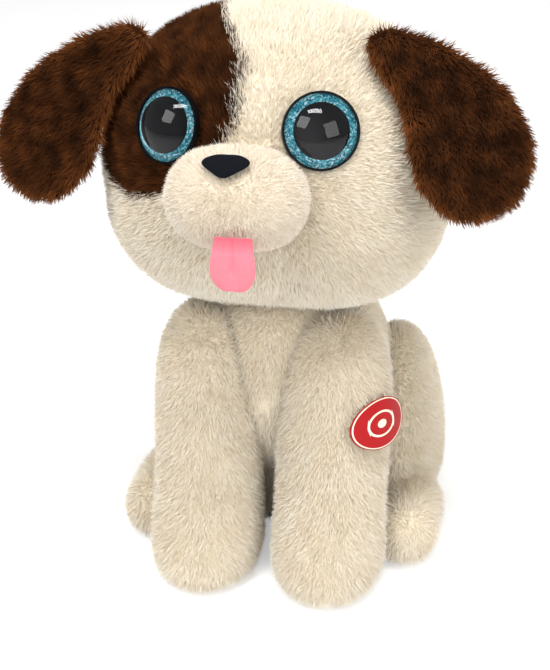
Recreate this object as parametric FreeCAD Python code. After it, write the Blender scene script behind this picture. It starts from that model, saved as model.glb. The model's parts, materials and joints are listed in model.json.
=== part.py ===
import FreeCAD, Part
import math
import os
from FreeCAD import Placement, Rotation, Vector

# Sitting plush puppy with a motor in its head that pushes the muzzle forward.
# Millimetres, +Z up. The puppy looks along -Y and its left side is +X. The
# origin lies on the flat underside of the body, where the puppy rests.

# ---- fabric and clearances ----
cover_wall = 3.0          # plush cloth with its pile and backing
seam_gap = 0.3            # between two soft pieces that are sewn together
slip_gap = 0.6            # round a soft piece that moves
run_gap = 0.05            # radial play of a gear on its axle
seat_gap = 0.1            # round a hard piece in its pocket

# ---- head ----
head_centre = Vector(0, -12, 200)
head_tilt = 10.0          # the face looks up by this many degrees
head_half_width = 82.0
head_radius = 70.5        # the head is a ball drawn out sideways
head_reach = head_half_width - head_radius

# ---- muzzle, nose and tongue, in the head's own frame ----
muzzle_stand = 4.5        # from the head's front to the middle of the muzzle
muzzle_centre = Vector(0, -head_radius - muzzle_stand, -4)
muzzle_half_width = 31.5
muzzle_radius = 23.0      # its roundness seen from the side
neck_half_width = 24.0    # straight neck that carries the muzzle into the head
neck_half_height = 15.5
neck_length = 24.0
former_wall = 1.8
kiss_travel = 8.0
nose_half_width = 12.0
nose_rise = 16.5          # height of the nose's middle above the muzzle's middle
nose_half_height = 8.0
nose_corner = 2.5
nose_felt = 1.6
tongue_width = 18.0
tongue_length = 27.0
tongue_felt = 2.4
tongue_low_angle = 52.0   # where the tongue leaves the muzzle, below its axis
tongue_forward = 6.0      # degrees that the tongue hangs forward
tongue_stitch_depth = 0.5
tongue_stitch_half = 0.5

# ---- patch of brown plush round the right eye ----
patch_inner_x = -5.0
patch_outer_x = -64.0
patch_low_z = -9.0
patch_top_x = -26.0
patch_top_z = 64.0
patch_corner = 12.0

# ---- ears ----
ear_root = Vector(57, -41, 34.5)
ear_root_length = 34.0
ear_root_slant = 60.0     # the seam's slope below level, going outward
ear_sweep = 40.0          # degrees that the ear stands off the head's side
ear_thickness = 12.0
ear_outline = [           # outward and up from the seam's middle, round the closed rim
    (-4, 18),
    (-2, 27),
    (8, 27),
    (22, 15),
    (35, -3),
    (44, -25),
    (43, -46),
    (34, -61),
    (20, -69),
    (5, -67),
    (-6, -58),
    (-10, -43),
    (-7, -26),
    (-3, -10),
]
ear_hang_gap = 0.5        # from the seam to the head

# ---- eyes ----
eye_side = 33.0
eye_height = 23.0
eye_turn = 22.0           # degrees that each eye looks outward
eye_lift = 12.0           # degrees that each eye looks up
eye_radius = 16.3
eye_rim = 1.0
eye_rim_height = 1.2
pupil_radius = 11.0
eye_cup_thickness = 1.6
iris_thickness = 0.4
dome_height = 8.0
eye_stem_radius = 2.5
eye_stem_length = 13.0
eye_washer_radius = 9.0
eye_washer_thickness = 1.5

# ---- body: height, middle of the section, half width, half depth ----
torso_sections = [
    (0, 14, 52, 45),
    (14, 13, 62, 55),
    (45, 11, 63, 56),
    (80, 5, 56, 49),
    (112, -4, 47, 42),
    (140, -10, 40, 36),
]
front_leg_side = 31.0
front_leg_sections = [
    (0, -70, 22, 25),
    (10, -70, 27.5, 33),
    (26, -66, 28, 31),
    (48, -58, 27, 27),
    (82, -47, 28, 28),
    (108, -38, 24, 25),
    (122, -33, 13, 15),
]
hind_leg_side = 53.0
thigh_sections = [
    (0, 14, 18, 34),
    (18, 14, 25, 43),
    (52, 14, 24, 42),
    (82, 14, 17, 29),
    (96, 14, 7, 12),
]
hind_paw_side = 66.0
hind_paw_centre_y = -34.0
hind_paw_radius = 17.0
hind_paw_half_length = 30.0
hind_paw_flat = 3.0       # how far the paw's underside is pressed flat
tail_root = Vector(0, 62, 22)
tail_length = 46.0
tail_root_radius = 11.0
tail_tip_radius = 8.0
tail_rise = 24.0          # degrees above level

# ---- kiss drive: everything runs on axles along X ----
gear_module = 0.8
pressure_angle = 25.0
tooth_play = 0.22
tooth_height_share = 0.85
cam_teeth = 42
wheel_teeth = 26
pinion_teeth = 10
cam_axis_y = -20.0
cam_low_radius = 5.0
groove_depth = 2.0
pin_radius = 1.5
pin_play = 0.2
gear_thickness = 4.0
gear_side_gap = 0.5
wheel_thickness = 3.5
axle_radius = 1.5
spacer_wall = 1.6         # of the spacer that holds the cam off the case
web_depth = 1.0           # of the ring hollowed out of the large wheel
slider_arm_height = 8.0
slider_arm_thickness = 3.9
slider_end_radius = 2.4
slider_plate_thickness = 2.5
case_wall = 2.0
case_room = 1.8           # between the teeth and the case
case_hub_room = 1.0       # between the case's wall and the first wheel
hub_wall = 2.0            # of the hubs round the axles
lug_floor = 1.5           # left closed under the screw holes
lug_radius = 3.6
case_screw_radius = 1.1
motor_radius = 10.0
motor_length = 22.0
motor_cap_length = 3.0
motor_tab_length = 4.0
motor_tab_side = 6.0
motor_shaft_radius = 1.0
motor_boss_radius = 3.0
motor_boss_length = 1.4
motor_sleeve_wall = 1.6
motor_sleeve_length = 14.0

# ---- battery and sound box in the body ----
box_middle_y = 26.0
box_half_depth = 19.0
box_right_x = -33.0
box_left_x = 37.0
box_floor_z = 1.4         # the box and its door stand this far off the ground
bay_height = 15.0
sound_height = 19.0
box_wall = 1.8
cell_radius = 5.2
cell_length = 44.0
cell_count = 3
contact_thickness = 0.5
contact_room = 3.0        # between a cell and the bay's end wall
contact_half_size = 4.2
door_thickness = 1.8
door_gap = 0.3
hinge_pin_radius = 1.1
board_thickness = 1.6
board_margin = 2.0
board_stand = 4.0         # pillars that carry the board over the battery bay
speaker_radius = 15.0
speaker_rim = 1.2
speaker_depth = 6.0
magnet_radius = 7.0
magnet_height = 3.5
slot_pitch = 3.4          # of the slots over the speaker
slot_half = 0.6
knob_travel = 2.5
knob_width = 5.0
knob_length = 6.0
knob_base = 1.5
box_screw_radius = 1.1
box_screw_head = 1.3
pillar_radius = 2.2
hinge_end_length = 3.0
rib_half = 0.5
bay_rib_half = 0.35       # thin ribs between the cells
bay_rib_depth = 2.5
door_screw_side = 16.0    # from the door's middle
door_screw_front = 5.0    # from the door's front edge
door_screw_seat = 0.9     # depth that the screw's head is sunk

# ---- press button on the left front leg ----
press_turn = 58.0         # degrees from straight ahead, outward
press_lift = 14.0         # degrees that the button looks up
press_height = 87.0
press_radius = 9.0
press_travel = 1.5
press_stand = 3.4         # the sticker stands this far off the cloth
sticker_half_length = 15.0
sticker_half_width = 12.0
sticker_thickness = 0.5
sticker_roll = 22.0
plunger_radius = 6.5
plunger_thickness = 1.6
plunger_stem_radius = 1.7
plunger_stem_length = 4.0
switch_half_size = 7.0
switch_height = 7.0

# ---- leads ----
lead_radius = 1.2
lead_channel = 0.5
lead_bend = 2.0           # room for the lead behind the motor's tabs

tiny = 0.01
far = 400.0
along_x = Vector(1, 0, 0)
along_y = Vector(0, 1, 0)
along_z = Vector(0, 0, 1)

os.makedirs("parts", exist_ok=True)


# ---------------------------------------------------------------- helpers
def write(name, shape):
    shape.exportStep(os.path.join("parts", name + ".step"))


def pill(centre, axis, half_length, radius):
    """A round bar with ball ends: a ball drawn out along one axis."""
    reach = half_length - radius
    body = Part.makeCylinder(radius, 2 * reach, Vector(0, 0, -reach))
    for side in (1, -1):
        body = body.fuse(Part.makeSphere(radius, Vector(0, 0, side * reach)))
    body = body.removeSplitter()
    return placed(body, Placement(centre, Rotation(along_z, axis)))


def box(low, high):
    return Part.makeBox(high[0] - low[0], high[1] - low[1], high[2] - low[2], Vector(*low))


def rod(radius, start, length, direction):
    return Part.makeCylinder(radius, length, start, direction)


def placed(shape, placement):
    moved = shape.copy()
    moved.Placement = placement.multiply(moved.Placement)
    return moved


def cut_each(shape, tools):
    for tool in tools:
        shape = shape.cut(tool)
    return shape


def mirrored(shape):
    return shape.mirror(Vector(0, 0, 0), along_x)


def ellipse_wire(x, y, z, half_x, half_y):
    """A level ellipse, its long axis along the larger half size."""
    if half_x >= half_y:
        curve = Part.Ellipse(Vector(x, y, z), half_x, half_y)
    else:
        curve = Part.Ellipse(Vector(x, y + half_y, z), Vector(x - half_x, y, z), Vector(x, y, z))
    return Part.Wire([curve.toShape()])


def stacked(x, sections, grow, floor):
    """A soft form lofted through level ellipses, larger by grow, its bottom at floor."""
    wires = []
    top = len(sections) - 1
    for index, (z, y, half_x, half_y) in enumerate(sections):
        height = z
        if index == 0:
            height = floor
        if index == top:
            height = z + grow
        wires.append(ellipse_wire(x, y, height, half_x + grow, half_y + grow))
    return Part.makeLoft(wires, True, False)


def arc_polygon(points, radius):
    """A closed face in the XZ plane with every corner rounded to one radius."""
    edges = []
    count = len(points)
    starts = []
    ends = []
    middles = []
    for index in range(count):
        before = points[index - 1]
        here = points[index]
        after = points[(index + 1) % count]
        back = (before - here).normalize()
        ahead = (after - here).normalize()
        half_angle = back.getAngle(ahead) / 2
        reach = radius / math.tan(half_angle)
        bisector = (back + ahead).normalize()
        starts.append(here + back * reach)
        ends.append(here + ahead * reach)
        middles.append(here + bisector * (radius / math.sin(half_angle) - radius))
    for index in range(count):
        edges.append(Part.Arc(starts[index], middles[index], ends[index]).toShape())
        edges.append(Part.LineSegment(ends[index], starts[(index + 1) % count]).toShape())
    return Part.Face(Part.Wire(edges))


def tube_path(points, radius_share=0.45):
    """Straight runs joined by tangent arcs through a route of points."""
    edges = []
    start = points[0]
    for index in range(1, len(points) - 1):
        here = points[index]
        back = points[index - 1] - here
        ahead = points[index + 1] - here
        reach = radius_share * min(back.Length, ahead.Length)
        first = here + back.normalize() * reach
        last = here + ahead.normalize() * reach
        half_turn = (math.pi - back.getAngle(ahead)) / 2
        bend = reach / math.tan(half_turn)
        inward = (back + ahead).normalize()
        middle = here + inward * (math.hypot(reach, bend) - bend)
        edges.append(Part.LineSegment(start, first).toShape())
        edges.append(Part.Arc(first, middle, last).toShape())
        start = last
    edges.append(Part.LineSegment(start, points[-1]).toShape())
    return Part.Wire(edges)


def tube(path, radius):
    start = path.Edges[0].valueAt(path.Edges[0].FirstParameter)
    heading = path.Edges[0].tangentAt(path.Edges[0].FirstParameter)
    ring = Part.Wire([Part.makeCircle(radius, start, heading)])
    return path.makePipeShell([ring], True, False)


# ---------------------------------------------------------------- frames
head_frame = Placement(head_centre, Rotation(along_x, -head_tilt))


def in_head(shape):
    return placed(shape, head_frame)


def head_form(grow):
    return pill(Vector(0, 0, 0), along_x, head_half_width + grow, head_radius + grow)


def muzzle_ball(grow):
    return pill(muzzle_centre, along_x, muzzle_half_width + grow, muzzle_radius + grow)


def muzzle_form(grow):
    """A ball that lies on the head, and a straight neck that reaches through the head's front."""
    ball = muzzle_ball(grow).cut(head_form(slip_gap - grow))
    for side in (1, -1):
        start = Vector(side * eye_side, -far, eye_height)
        ball = ball.cut(rod(eye_radius + slip_gap - grow, start, 2 * far, along_y))
    return ball.fuse(muzzle_neck(grow, muzzle_centre.y, muzzle_centre.y + neck_length))


def muzzle_neck(grow, front_y, back_y):
    """Straight neck with flat top and bottom and round sides."""
    high = neck_half_height + grow
    side = neck_half_width - neck_half_height
    outer = neck_half_width + grow
    edges = [
        Part.LineSegment(Vector(-side, 0, high), Vector(side, 0, high)).toShape(),
        Part.Arc(Vector(side, 0, high), Vector(outer, 0, 0), Vector(side, 0, -high)).toShape(),
        Part.LineSegment(Vector(side, 0, -high), Vector(-side, 0, -high)).toShape(),
        Part.Arc(Vector(-side, 0, -high), Vector(-outer, 0, 0), Vector(-side, 0, high)).toShape(),
    ]
    face = Part.Face(Part.Wire(edges))
    face.translate(Vector(0, front_y, muzzle_centre.z))
    return face.extrude(Vector(0, back_y - front_y, 0))


def torso_form(grow, floor):
    return stacked(0, torso_sections, grow, floor)


def front_leg_form(side, grow, floor):
    return stacked(side * front_leg_side, front_leg_sections, grow, floor)


def hind_leg_form(side, grow, floor):
    thigh = stacked(side * hind_leg_side, thigh_sections, grow, floor)
    middle = Vector(side * hind_paw_side, hind_paw_centre_y, hind_paw_radius - hind_paw_flat)
    paw = pill(middle, along_y, hind_paw_half_length + grow, hind_paw_radius + grow)
    paw = paw.common(box((-far, -far, floor), (far, far, far)))
    return thigh.fuse(paw)


def tail_form(grow):
    root = tail_root_radius + grow
    tip = tail_tip_radius + grow
    body = Part.makeCone(root, tip, tail_length)
    end = Part.makeSphere(tip, Vector(0, 0, tail_length))
    turn = Rotation(along_x, tail_rise - 90)
    return placed(body.fuse(end), Placement(tail_root, turn))


# ---------------------------------------------------------------- eye frames
def eye_frame(side):
    """Origin on the head's surface under the eye, +Z out of the eye."""
    depth = math.sqrt(head_radius ** 2 - (eye_side - head_reach) ** 2 - eye_height ** 2)
    seat = Vector(side * eye_side, -depth, eye_height)
    turn = math.radians(eye_turn)
    lift = math.radians(eye_lift)
    out = Vector(
        side * math.sin(turn) * math.cos(lift), -math.cos(turn) * math.cos(lift), math.sin(lift)
    )
    return Placement(seat, Rotation(along_z, out))


def eye_tool(side, radius, low, high):
    return placed(rod(radius, Vector(0, 0, low), high - low, along_z), eye_frame(side))


washer_top = -cover_wall - 1.0
washer_bottom = washer_top - eye_washer_thickness


def eye_cuts(side):
    """Room in the head for the eye's cup, stem and washer."""
    cup = eye_tool(side, eye_radius + seam_gap, -eye_cup_thickness - seat_gap, far / 10)
    stem = eye_tool(side, eye_stem_radius + seat_gap, -eye_stem_length - seam_gap, 0)
    washer = eye_tool(side, eye_washer_radius + seam_gap, washer_bottom - seam_gap, washer_top + tiny)
    return cup.fuse([stem, washer])


# ---------------------------------------------------------------- gears
def involute(angle):
    return math.tan(angle) - angle


def pitch_radius(teeth):
    return gear_module * teeth / 2


def gear_outline(teeth, gap_at_start):
    """Toothed face in the YZ plane round the origin; a tooth or a gap points along +Y."""
    pitch = pitch_radius(teeth)
    base = pitch * math.cos(math.radians(pressure_angle))
    outer = pitch + gear_module * tooth_height_share
    root = pitch - gear_module * (tooth_height_share + 0.25)
    at_pitch = math.pi / (2 * teeth) - tooth_play / (2 * pitch) + involute(math.radians(pressure_angle))

    def half_angle(radius):
        if radius <= base:
            return at_pitch
        return at_pitch - involute(math.acos(base / radius))

    flank = [root, max(pitch - gear_module * 0.4, root + tiny), pitch + gear_module * 0.3, outer]
    points = []
    for tooth in range(teeth):
        middle = 2 * math.pi * (tooth + (0.5 if gap_at_start else 0)) / teeth
        for radius in flank:
            points.append((radius, middle - half_angle(radius)))
        for radius in reversed(flank):
            points.append((radius, middle + half_angle(radius)))
    corners = [Vector(0, r * math.cos(a), r * math.sin(a)) for r, a in points]
    return Part.Face(Part.makePolygon(corners + corners[:1]))


def gear(teeth, x, thickness, gap_at_start):
    face = gear_outline(teeth, gap_at_start)
    face.translate(Vector(x, 0, 0))
    return face.extrude(Vector(thickness, 0, 0))


def groove_half(side):
    """Half of the heart-shaped groove: its middle line opens evenly from the low radius."""
    reach = pin_radius + pin_play
    steps = 16
    outer = []
    inner = []
    rate = kiss_travel / math.pi
    for step in range(steps + 1):
        angle = math.pi * step / steps
        radius = cam_low_radius + rate * angle
        slope = math.hypot(radius, rate)
        radial = Vector(0, -math.cos(angle), side * math.sin(angle))
        around = Vector(0, math.sin(angle), side * math.cos(angle))
        point = radial * radius
        normal = (radial * radius - around * rate) * (1 / slope)
        outer.append(point + normal * reach)
        inner.append(point - normal * reach)
    heading_start = (outer[0] - inner[0]).cross(Vector(side, 0, 0)).normalize()
    heading_end = (outer[-1] - inner[-1]).cross(Vector(side, 0, 0)).normalize()
    start = (outer[0] + inner[0]) * 0.5
    end = (outer[-1] + inner[-1]) * 0.5
    outer_curve = Part.BSplineCurve()
    outer_curve.interpolate(outer)
    inner_curve = Part.BSplineCurve()
    inner_curve.interpolate(inner[::-1])
    edges = [
        outer_curve.toShape(),
        Part.Arc(outer[-1], end + heading_end * reach, inner[-1]).toShape(),
        inner_curve.toShape(),
        Part.Arc(inner[0], start - heading_start * reach, outer[0]).toShape(),
    ]
    return Part.Face(Part.Wire(edges))


# ---------------------------------------------------------------- kiss drive layout
cam_radius = pitch_radius(cam_teeth)
wheel_radius = pitch_radius(wheel_teeth)
pinion_radius = pitch_radius(pinion_teeth)
tooth_tip = gear_module * tooth_height_share
axis_z = muzzle_centre.z
idler_axis_y = cam_axis_y + cam_radius + pinion_radius
motor_axis_y = idler_axis_y + wheel_radius + pinion_radius
axle_places = (cam_axis_y, idler_axis_y)

slider_x = 0.0
cam_x = slider_x - gear_side_gap - gear_thickness
wheel_x = cam_x - gear_side_gap - wheel_thickness
room_right_x = wheel_x - case_hub_room
room_left_x = slider_x + slider_arm_thickness + seam_gap
motor_x = room_right_x - case_wall - motor_length

front_room = cam_radius + tooth_tip + case_room
rear_shift = wheel_radius / 2
rear_room = wheel_radius - rear_shift + 2 * (pinion_radius + tooth_tip) + case_room - 0.8
front_mid = Vector(0, cam_axis_y, axis_z)
rear_mid = Vector(0, idler_axis_y + rear_shift, axis_z)


def capsule(grow, x, thickness):
    """Case outline: two round ends, the front one larger, joined by straight tangents."""
    large = front_room + grow
    small = rear_room + grow
    span = rear_mid.y - front_mid.y
    lean = math.acos((large - small) / span)
    touch = Vector(0, math.cos(lean), math.sin(lean))
    drop = Vector(0, touch.y, -touch.z)
    start = Vector(x, 0, 0)
    upper_front = start + front_mid + touch * large
    upper_rear = start + rear_mid + touch * small
    lower_rear = start + rear_mid + drop * small
    lower_front = start + front_mid + drop * large
    edges = [
        Part.LineSegment(upper_front, upper_rear).toShape(),
        Part.Arc(upper_rear, start + rear_mid + Vector(0, small, 0), lower_rear).toShape(),
        Part.LineSegment(lower_rear, lower_front).toShape(),
        Part.Arc(lower_front, start + front_mid - Vector(0, large, 0), upper_front).toShape(),
    ]
    return Part.Face(Part.Wire(edges)).extrude(Vector(thickness, 0, 0))


def lug_places():
    """Screw lugs stand on the case's outline, two at each end."""
    places = []
    for middle, room, angle in ((front_mid, front_room, 118), (rear_mid, rear_room, 50)):
        for turn in (angle, -angle):
            away = Vector(0, math.cos(math.radians(turn)), math.sin(math.radians(turn)))
            places.append(middle + away * (room + case_wall + lug_radius * 0.6))
    return places


def lugs(x, length):
    return [rod(lug_radius, Vector(x, 0, 0) + place, length, along_x) for place in lug_places()]


def at_axis(radius, axis_y, x, length):
    return rod(radius, Vector(x, axis_y, axis_z), length, along_x)


case_right_x = room_right_x - case_wall
case_left_x = room_left_x + case_wall


def slider_window():
    half = slider_arm_height / 2 + seam_gap
    front = cam_axis_y - front_room - case_wall
    return box(
        (slider_x - seam_gap, front - 1, axis_z - half),
        (room_left_x, front + 2 * case_wall + 3, axis_z + half),
    )


def make_gear_case():
    shell = capsule(case_wall, case_right_x, room_left_x - case_right_x)
    shell = shell.fuse(lugs(case_right_x, room_left_x - case_right_x))
    sleeve = at_axis(
        motor_radius + seat_gap + motor_sleeve_wall,
        motor_axis_y,
        case_right_x - motor_sleeve_length,
        motor_sleeve_length + case_wall,
    )
    shell = shell.fuse(sleeve)
    room = capsule(0, room_right_x, far / 10)
    motor_room = at_axis(motor_radius + seat_gap, motor_axis_y, motor_x - 1, motor_length + 1)
    shaft_hole = at_axis(motor_boss_radius + seat_gap, motor_axis_y, case_right_x - 1, case_wall + 2)
    shell = cut_each(shell, [room, motor_room, shaft_hole])
    hub_height = case_hub_room - gear_side_gap
    hubs = [at_axis(axle_radius + hub_wall, y, room_right_x, hub_height) for y in axle_places]
    shell = shell.fuse(hubs)
    cuts = [at_axis(axle_radius, y, case_right_x - 1, 10) for y in axle_places]
    for place in lug_places():
        start = Vector(case_right_x + lug_floor, 0, 0) + place
        cuts.append(rod(case_screw_radius, start, far / 10, along_x))
    cuts.append(slider_window())
    return cut_each(shell, cuts)


def make_gear_case_cover():
    lid = capsule(case_wall, room_left_x, case_wall).fuse(lugs(room_left_x, case_wall))
    half = slider_arm_height / 2 + seam_gap
    rail_front = cam_axis_y - front_room + 1.0
    rail_back = cam_axis_y - cam_low_radius - pin_radius
    rails = []
    for side in (1, -1):
        low = axis_z + side * half
        high = axis_z + side * (half + case_wall)
        rails.append(
            box(
                (slider_x + seam_gap, rail_front, min(low, high)),
                (room_left_x, rail_back, max(low, high)),
            )
        )
    lid = lid.fuse(rails)
    cuts = [at_axis(axle_radius, y, room_left_x - 1, case_wall + 2) for y in axle_places]
    for place in lug_places():
        start = Vector(room_left_x - 1, 0, 0) + place
        cuts.append(rod(case_screw_radius + seat_gap, start, far / 10, along_x))
    return cut_each(lid, cuts)


def screw(start, direction, shank_radius, length, head_radius, head_height):
    """A pan-head screw with a cross recess; start is the underside of its head."""
    head_base = start - direction * head_height
    shank = rod(shank_radius, start - direction * tiny, length + tiny, direction)
    head = rod(head_radius, head_base, head_height, direction)
    body = head.fuse(shank)
    arm = head_radius * 1.1
    slot = box((-arm / 2, -0.3, -tiny), (arm / 2, 0.3, head_height * 0.5))
    cross = slot.fuse(placed(slot, Placement(Vector(), Rotation(along_z, 90))))
    turn = Rotation(along_z, direction)
    return body.cut(placed(cross, Placement(head_base, turn)))


def make_case_screws():
    back = Vector(-1, 0, 0)
    length = case_wall + room_left_x - case_right_x - 3.0
    shapes = []
    for place in lug_places():
        start = Vector(case_left_x, 0, 0) + place
        shapes.append(screw(start, back, case_screw_radius, length, lug_radius * 0.75, 1.4))
    return Part.makeCompound(shapes)


def make_gear_axles():
    length = case_left_x - case_right_x
    shapes = [at_axis(axle_radius, y, case_right_x, length) for y in axle_places]
    return Part.makeCompound(shapes)


def make_cam_gear():
    wheel = gear(cam_teeth, cam_x, gear_thickness, False)
    groove = groove_half(1).extrude(Vector(far / 10, 0, 0))
    other = groove_half(-1).extrude(Vector(far / 10, 0, 0))
    floor_x = cam_x + gear_thickness - groove_depth
    groove.translate(Vector(floor_x, 0, 0))
    other.translate(Vector(floor_x, 0, 0))
    bore = rod(axle_radius + run_gap, Vector(cam_x - 1, 0, 0), gear_thickness + 2, along_x)
    wheel = cut_each(wheel, [groove, other, bore])
    spacer = rod(axle_radius + spacer_wall, Vector(wheel_x, 0, 0), cam_x - wheel_x, along_x)
    spacer = spacer.cut(rod(axle_radius + run_gap, Vector(wheel_x - 1, 0, 0), gear_thickness + 2, along_x))
    wheel = wheel.fuse(spacer)
    wheel.translate(front_mid)
    return wheel


def make_idler_gear():
    small = gear(pinion_teeth, cam_x, gear_thickness, True)
    neck = rod(pinion_radius - gear_module, Vector(wheel_x, 0, 0), cam_x - wheel_x, along_x)
    large = gear(wheel_teeth, wheel_x, wheel_thickness, False)
    bore = rod(axle_radius + run_gap, Vector(wheel_x - 1, 0, 0), far / 10, along_x)
    web_low = pinion_radius + 1.0
    web_high = wheel_radius - gear_module - 2.0
    ring_start = Vector(wheel_x - 1, 0, 0)
    ring = rod(web_high, ring_start, 1 + web_depth, along_x)
    ring = ring.cut(rod(web_low, ring_start, 1 + web_depth, along_x))
    idler = large.cut(ring).fuse([neck, small]).cut(bore)
    idler.translate(Vector(0, idler_axis_y, axis_z))
    return idler


def make_motor_pinion():
    shaft_start = case_right_x + tiny
    small = gear(pinion_teeth, wheel_x, wheel_thickness, True)
    shaft_length = wheel_x + wheel_thickness + 1 - shaft_start
    pinion = small.fuse(rod(motor_shaft_radius, Vector(shaft_start, 0, 0), shaft_length, along_x))
    pinion.translate(Vector(0, motor_axis_y, axis_z))
    return pinion


def make_motor_can():
    can = at_axis(motor_radius, motor_axis_y, motor_x + motor_cap_length, motor_length - motor_cap_length)
    can = can.makeFillet(1.2, [edge for edge in can.Edges if edge.CenterOfMass.x > case_right_x - 0.1])
    boss = at_axis(motor_boss_radius, motor_axis_y, case_right_x - tiny, motor_boss_length)
    bore = at_axis(motor_shaft_radius + run_gap, motor_axis_y, case_right_x - tiny, motor_boss_length + 1)
    return can.fuse(boss).cut(bore)


def make_motor_end_cap():
    cap = at_axis(motor_radius - 0.4, motor_axis_y, motor_x, motor_cap_length)
    tabs = []
    half_width = 1.5
    half_sheet = 0.3
    for side in (1, -1):
        middle = axis_z + side * motor_tab_side
        low = (motor_x - motor_tab_length, motor_axis_y - half_width, middle - half_sheet)
        tabs.append(box(low, (motor_x, motor_axis_y + half_width, middle + half_sheet)))
    return cap.fuse(tabs)


plate_y = muzzle_centre.y + neck_length - cover_wall
plate_half_width = 14.0
plate_half_height = 7.5
former_screw_side = 10.0
former_post_radius = 2.6


def make_muzzle_slider():
    half = slider_arm_height / 2
    pin_y = cam_axis_y - cam_low_radius
    arm = box(
        (slider_x, plate_y - slider_plate_thickness, axis_z - half),
        (slider_x + slider_arm_thickness, pin_y, axis_z + half),
    )
    end = rod(slider_end_radius, Vector(slider_x, pin_y, axis_z), slider_arm_thickness, along_x)
    end = end.fuse(
        box(
            (slider_x, pin_y - 2 * slider_end_radius, axis_z - slider_end_radius),
            (slider_x + slider_arm_thickness, pin_y, axis_z + slider_end_radius),
        )
    )
    arm_end = box(
        (slider_x - 1, pin_y - slider_end_radius, axis_z - half - 1),
        (slider_x + slider_arm_thickness + 1, pin_y + 1, axis_z + half + 1),
    )
    pin = rod(
        pin_radius, Vector(slider_x - gear_side_gap - groove_depth + seam_gap, pin_y, axis_z),
        gear_side_gap + groove_depth - seam_gap + 1, along_x
    )
    plate = box(
        (-plate_half_width, plate_y - slider_plate_thickness, axis_z - plate_half_height),
        (plate_half_width, plate_y, axis_z + plate_half_height),
    )
    upright = [edge for edge in plate.Edges if abs(edge.tangentAt(edge.FirstParameter).y) > 0.9]
    plate = plate.makeFillet(3.0, upright)
    gusset_depth = 8.0
    gusset_reach = 3.0
    gussets = []
    for side in (1, -1):
        root_x = slider_x + (slider_arm_thickness if side > 0 else 0)
        corners = [
            Vector(root_x, plate_y, axis_z),
            Vector(root_x + side * gusset_reach, plate_y, axis_z),
            Vector(root_x, plate_y + gusset_depth, axis_z),
        ]
        face = Part.Face(Part.makePolygon(corners + corners[:1]))
        face.translate(Vector(0, 0, -0.8))
        gussets.append(face.extrude(Vector(0, 0, 1.6)))
    slider = arm.cut(arm_end).fuse([end, pin, plate] + gussets)
    holes = []
    for side in (1, -1):
        start = Vector(side * former_screw_side, plate_y + 1, axis_z)
        holes.append(rod(case_screw_radius + seat_gap, start, slider_plate_thickness + 2, Vector(0, -1, 0)))
    return cut_each(slider, holes)


def make_slider_screws():
    shapes = []
    for side in (1, -1):
        start = Vector(side * former_screw_side, plate_y, axis_z)
        shapes.append(screw(start, Vector(0, -1, 0), case_screw_radius, 7.0, 2.3, 1.4))
    return Part.makeCompound(shapes)


# ---------------------------------------------------------------- head pieces
def prism_along_y(face, front_y, back_y):
    solid = face.copy()
    solid.translate(Vector(0, front_y, 0))
    return solid.extrude(Vector(0, back_y - front_y, 0))


def patch_outline(grow):
    points = [
        Vector(patch_inner_x + grow, 0, patch_low_z - grow),
        Vector(patch_inner_x + grow, 0, patch_top_z * 0.62),
        Vector(patch_top_x + grow, 0, patch_top_z + grow),
        Vector(patch_top_x - 8 - grow, 0, patch_top_z + grow),
        Vector(patch_outer_x - grow, 0, patch_top_z * 0.42),
        Vector(patch_outer_x - grow, 0, patch_low_z - grow),
    ]
    return arc_polygon(points, patch_corner * 0.45 + grow)


def muzzle_room():
    """Way for the muzzle through the head's front."""
    return muzzle_neck(slip_gap, -far, cam_axis_y - front_room)


def make_head_cover_and_patch():
    shell = head_form(0).cut(head_form(-cover_wall))
    shell = cut_each(shell, [muzzle_room(), eye_cuts(1), eye_cuts(-1)])
    front_y = -head_radius - 10
    hole = prism_along_y(patch_outline(seam_gap), front_y, 0)
    piece = prism_along_y(patch_outline(0), front_y, 0)
    return shell.cut(hole), shell.common(piece)


def gear_case_room():
    """Pocket in the head's filling that holds the drive."""
    gap = seam_gap
    low = case_right_x - gap
    high = case_left_x + 1.6 + gap
    room = capsule(case_wall + gap, low, high - low)
    for place in lug_places():
        room = room.fuse(rod(lug_radius + gap, Vector(low, 0, 0) + place, high - low, along_x))
    motor_low = motor_x - motor_tab_length - lead_bend
    sleeve_radius = motor_radius + seat_gap + motor_sleeve_wall
    return room.fuse(at_axis(sleeve_radius + gap, motor_axis_y, motor_low, room_right_x + gap - motor_low))


def make_head_stuffing():
    body = head_form(-cover_wall - seam_gap)
    return cut_each(body, [muzzle_room(), eye_cuts(1), eye_cuts(-1), gear_case_room()])


def make_muzzle_cover():
    hollow = muzzle_form(-cover_wall).fuse(
        muzzle_neck(-cover_wall, muzzle_centre.y, muzzle_centre.y + neck_length + 1)
    )
    return muzzle_form(0).cut(hollow)


def make_muzzle_former():
    grow = -cover_wall - seam_gap
    outer = muzzle_form(grow)
    inner = muzzle_form(grow - former_wall)
    back = plate_y - slider_plate_thickness
    cup = outer.cut(inner).common(box((-far, -far, -far), (far, back, far)))
    posts = []
    cuts = []
    for side in (1, -1):
        start = Vector(side * former_screw_side, back, axis_z)
        posts.append(rod(former_post_radius, start, far / 8, Vector(0, -1, 0)))
        cuts.append(rod(case_screw_radius, start + along_y, 7.0, Vector(0, -1, 0)))
    posts = [post.common(muzzle_form(grow - former_wall / 2)) for post in posts]
    return cut_each(cup.fuse(posts), cuts)


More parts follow.
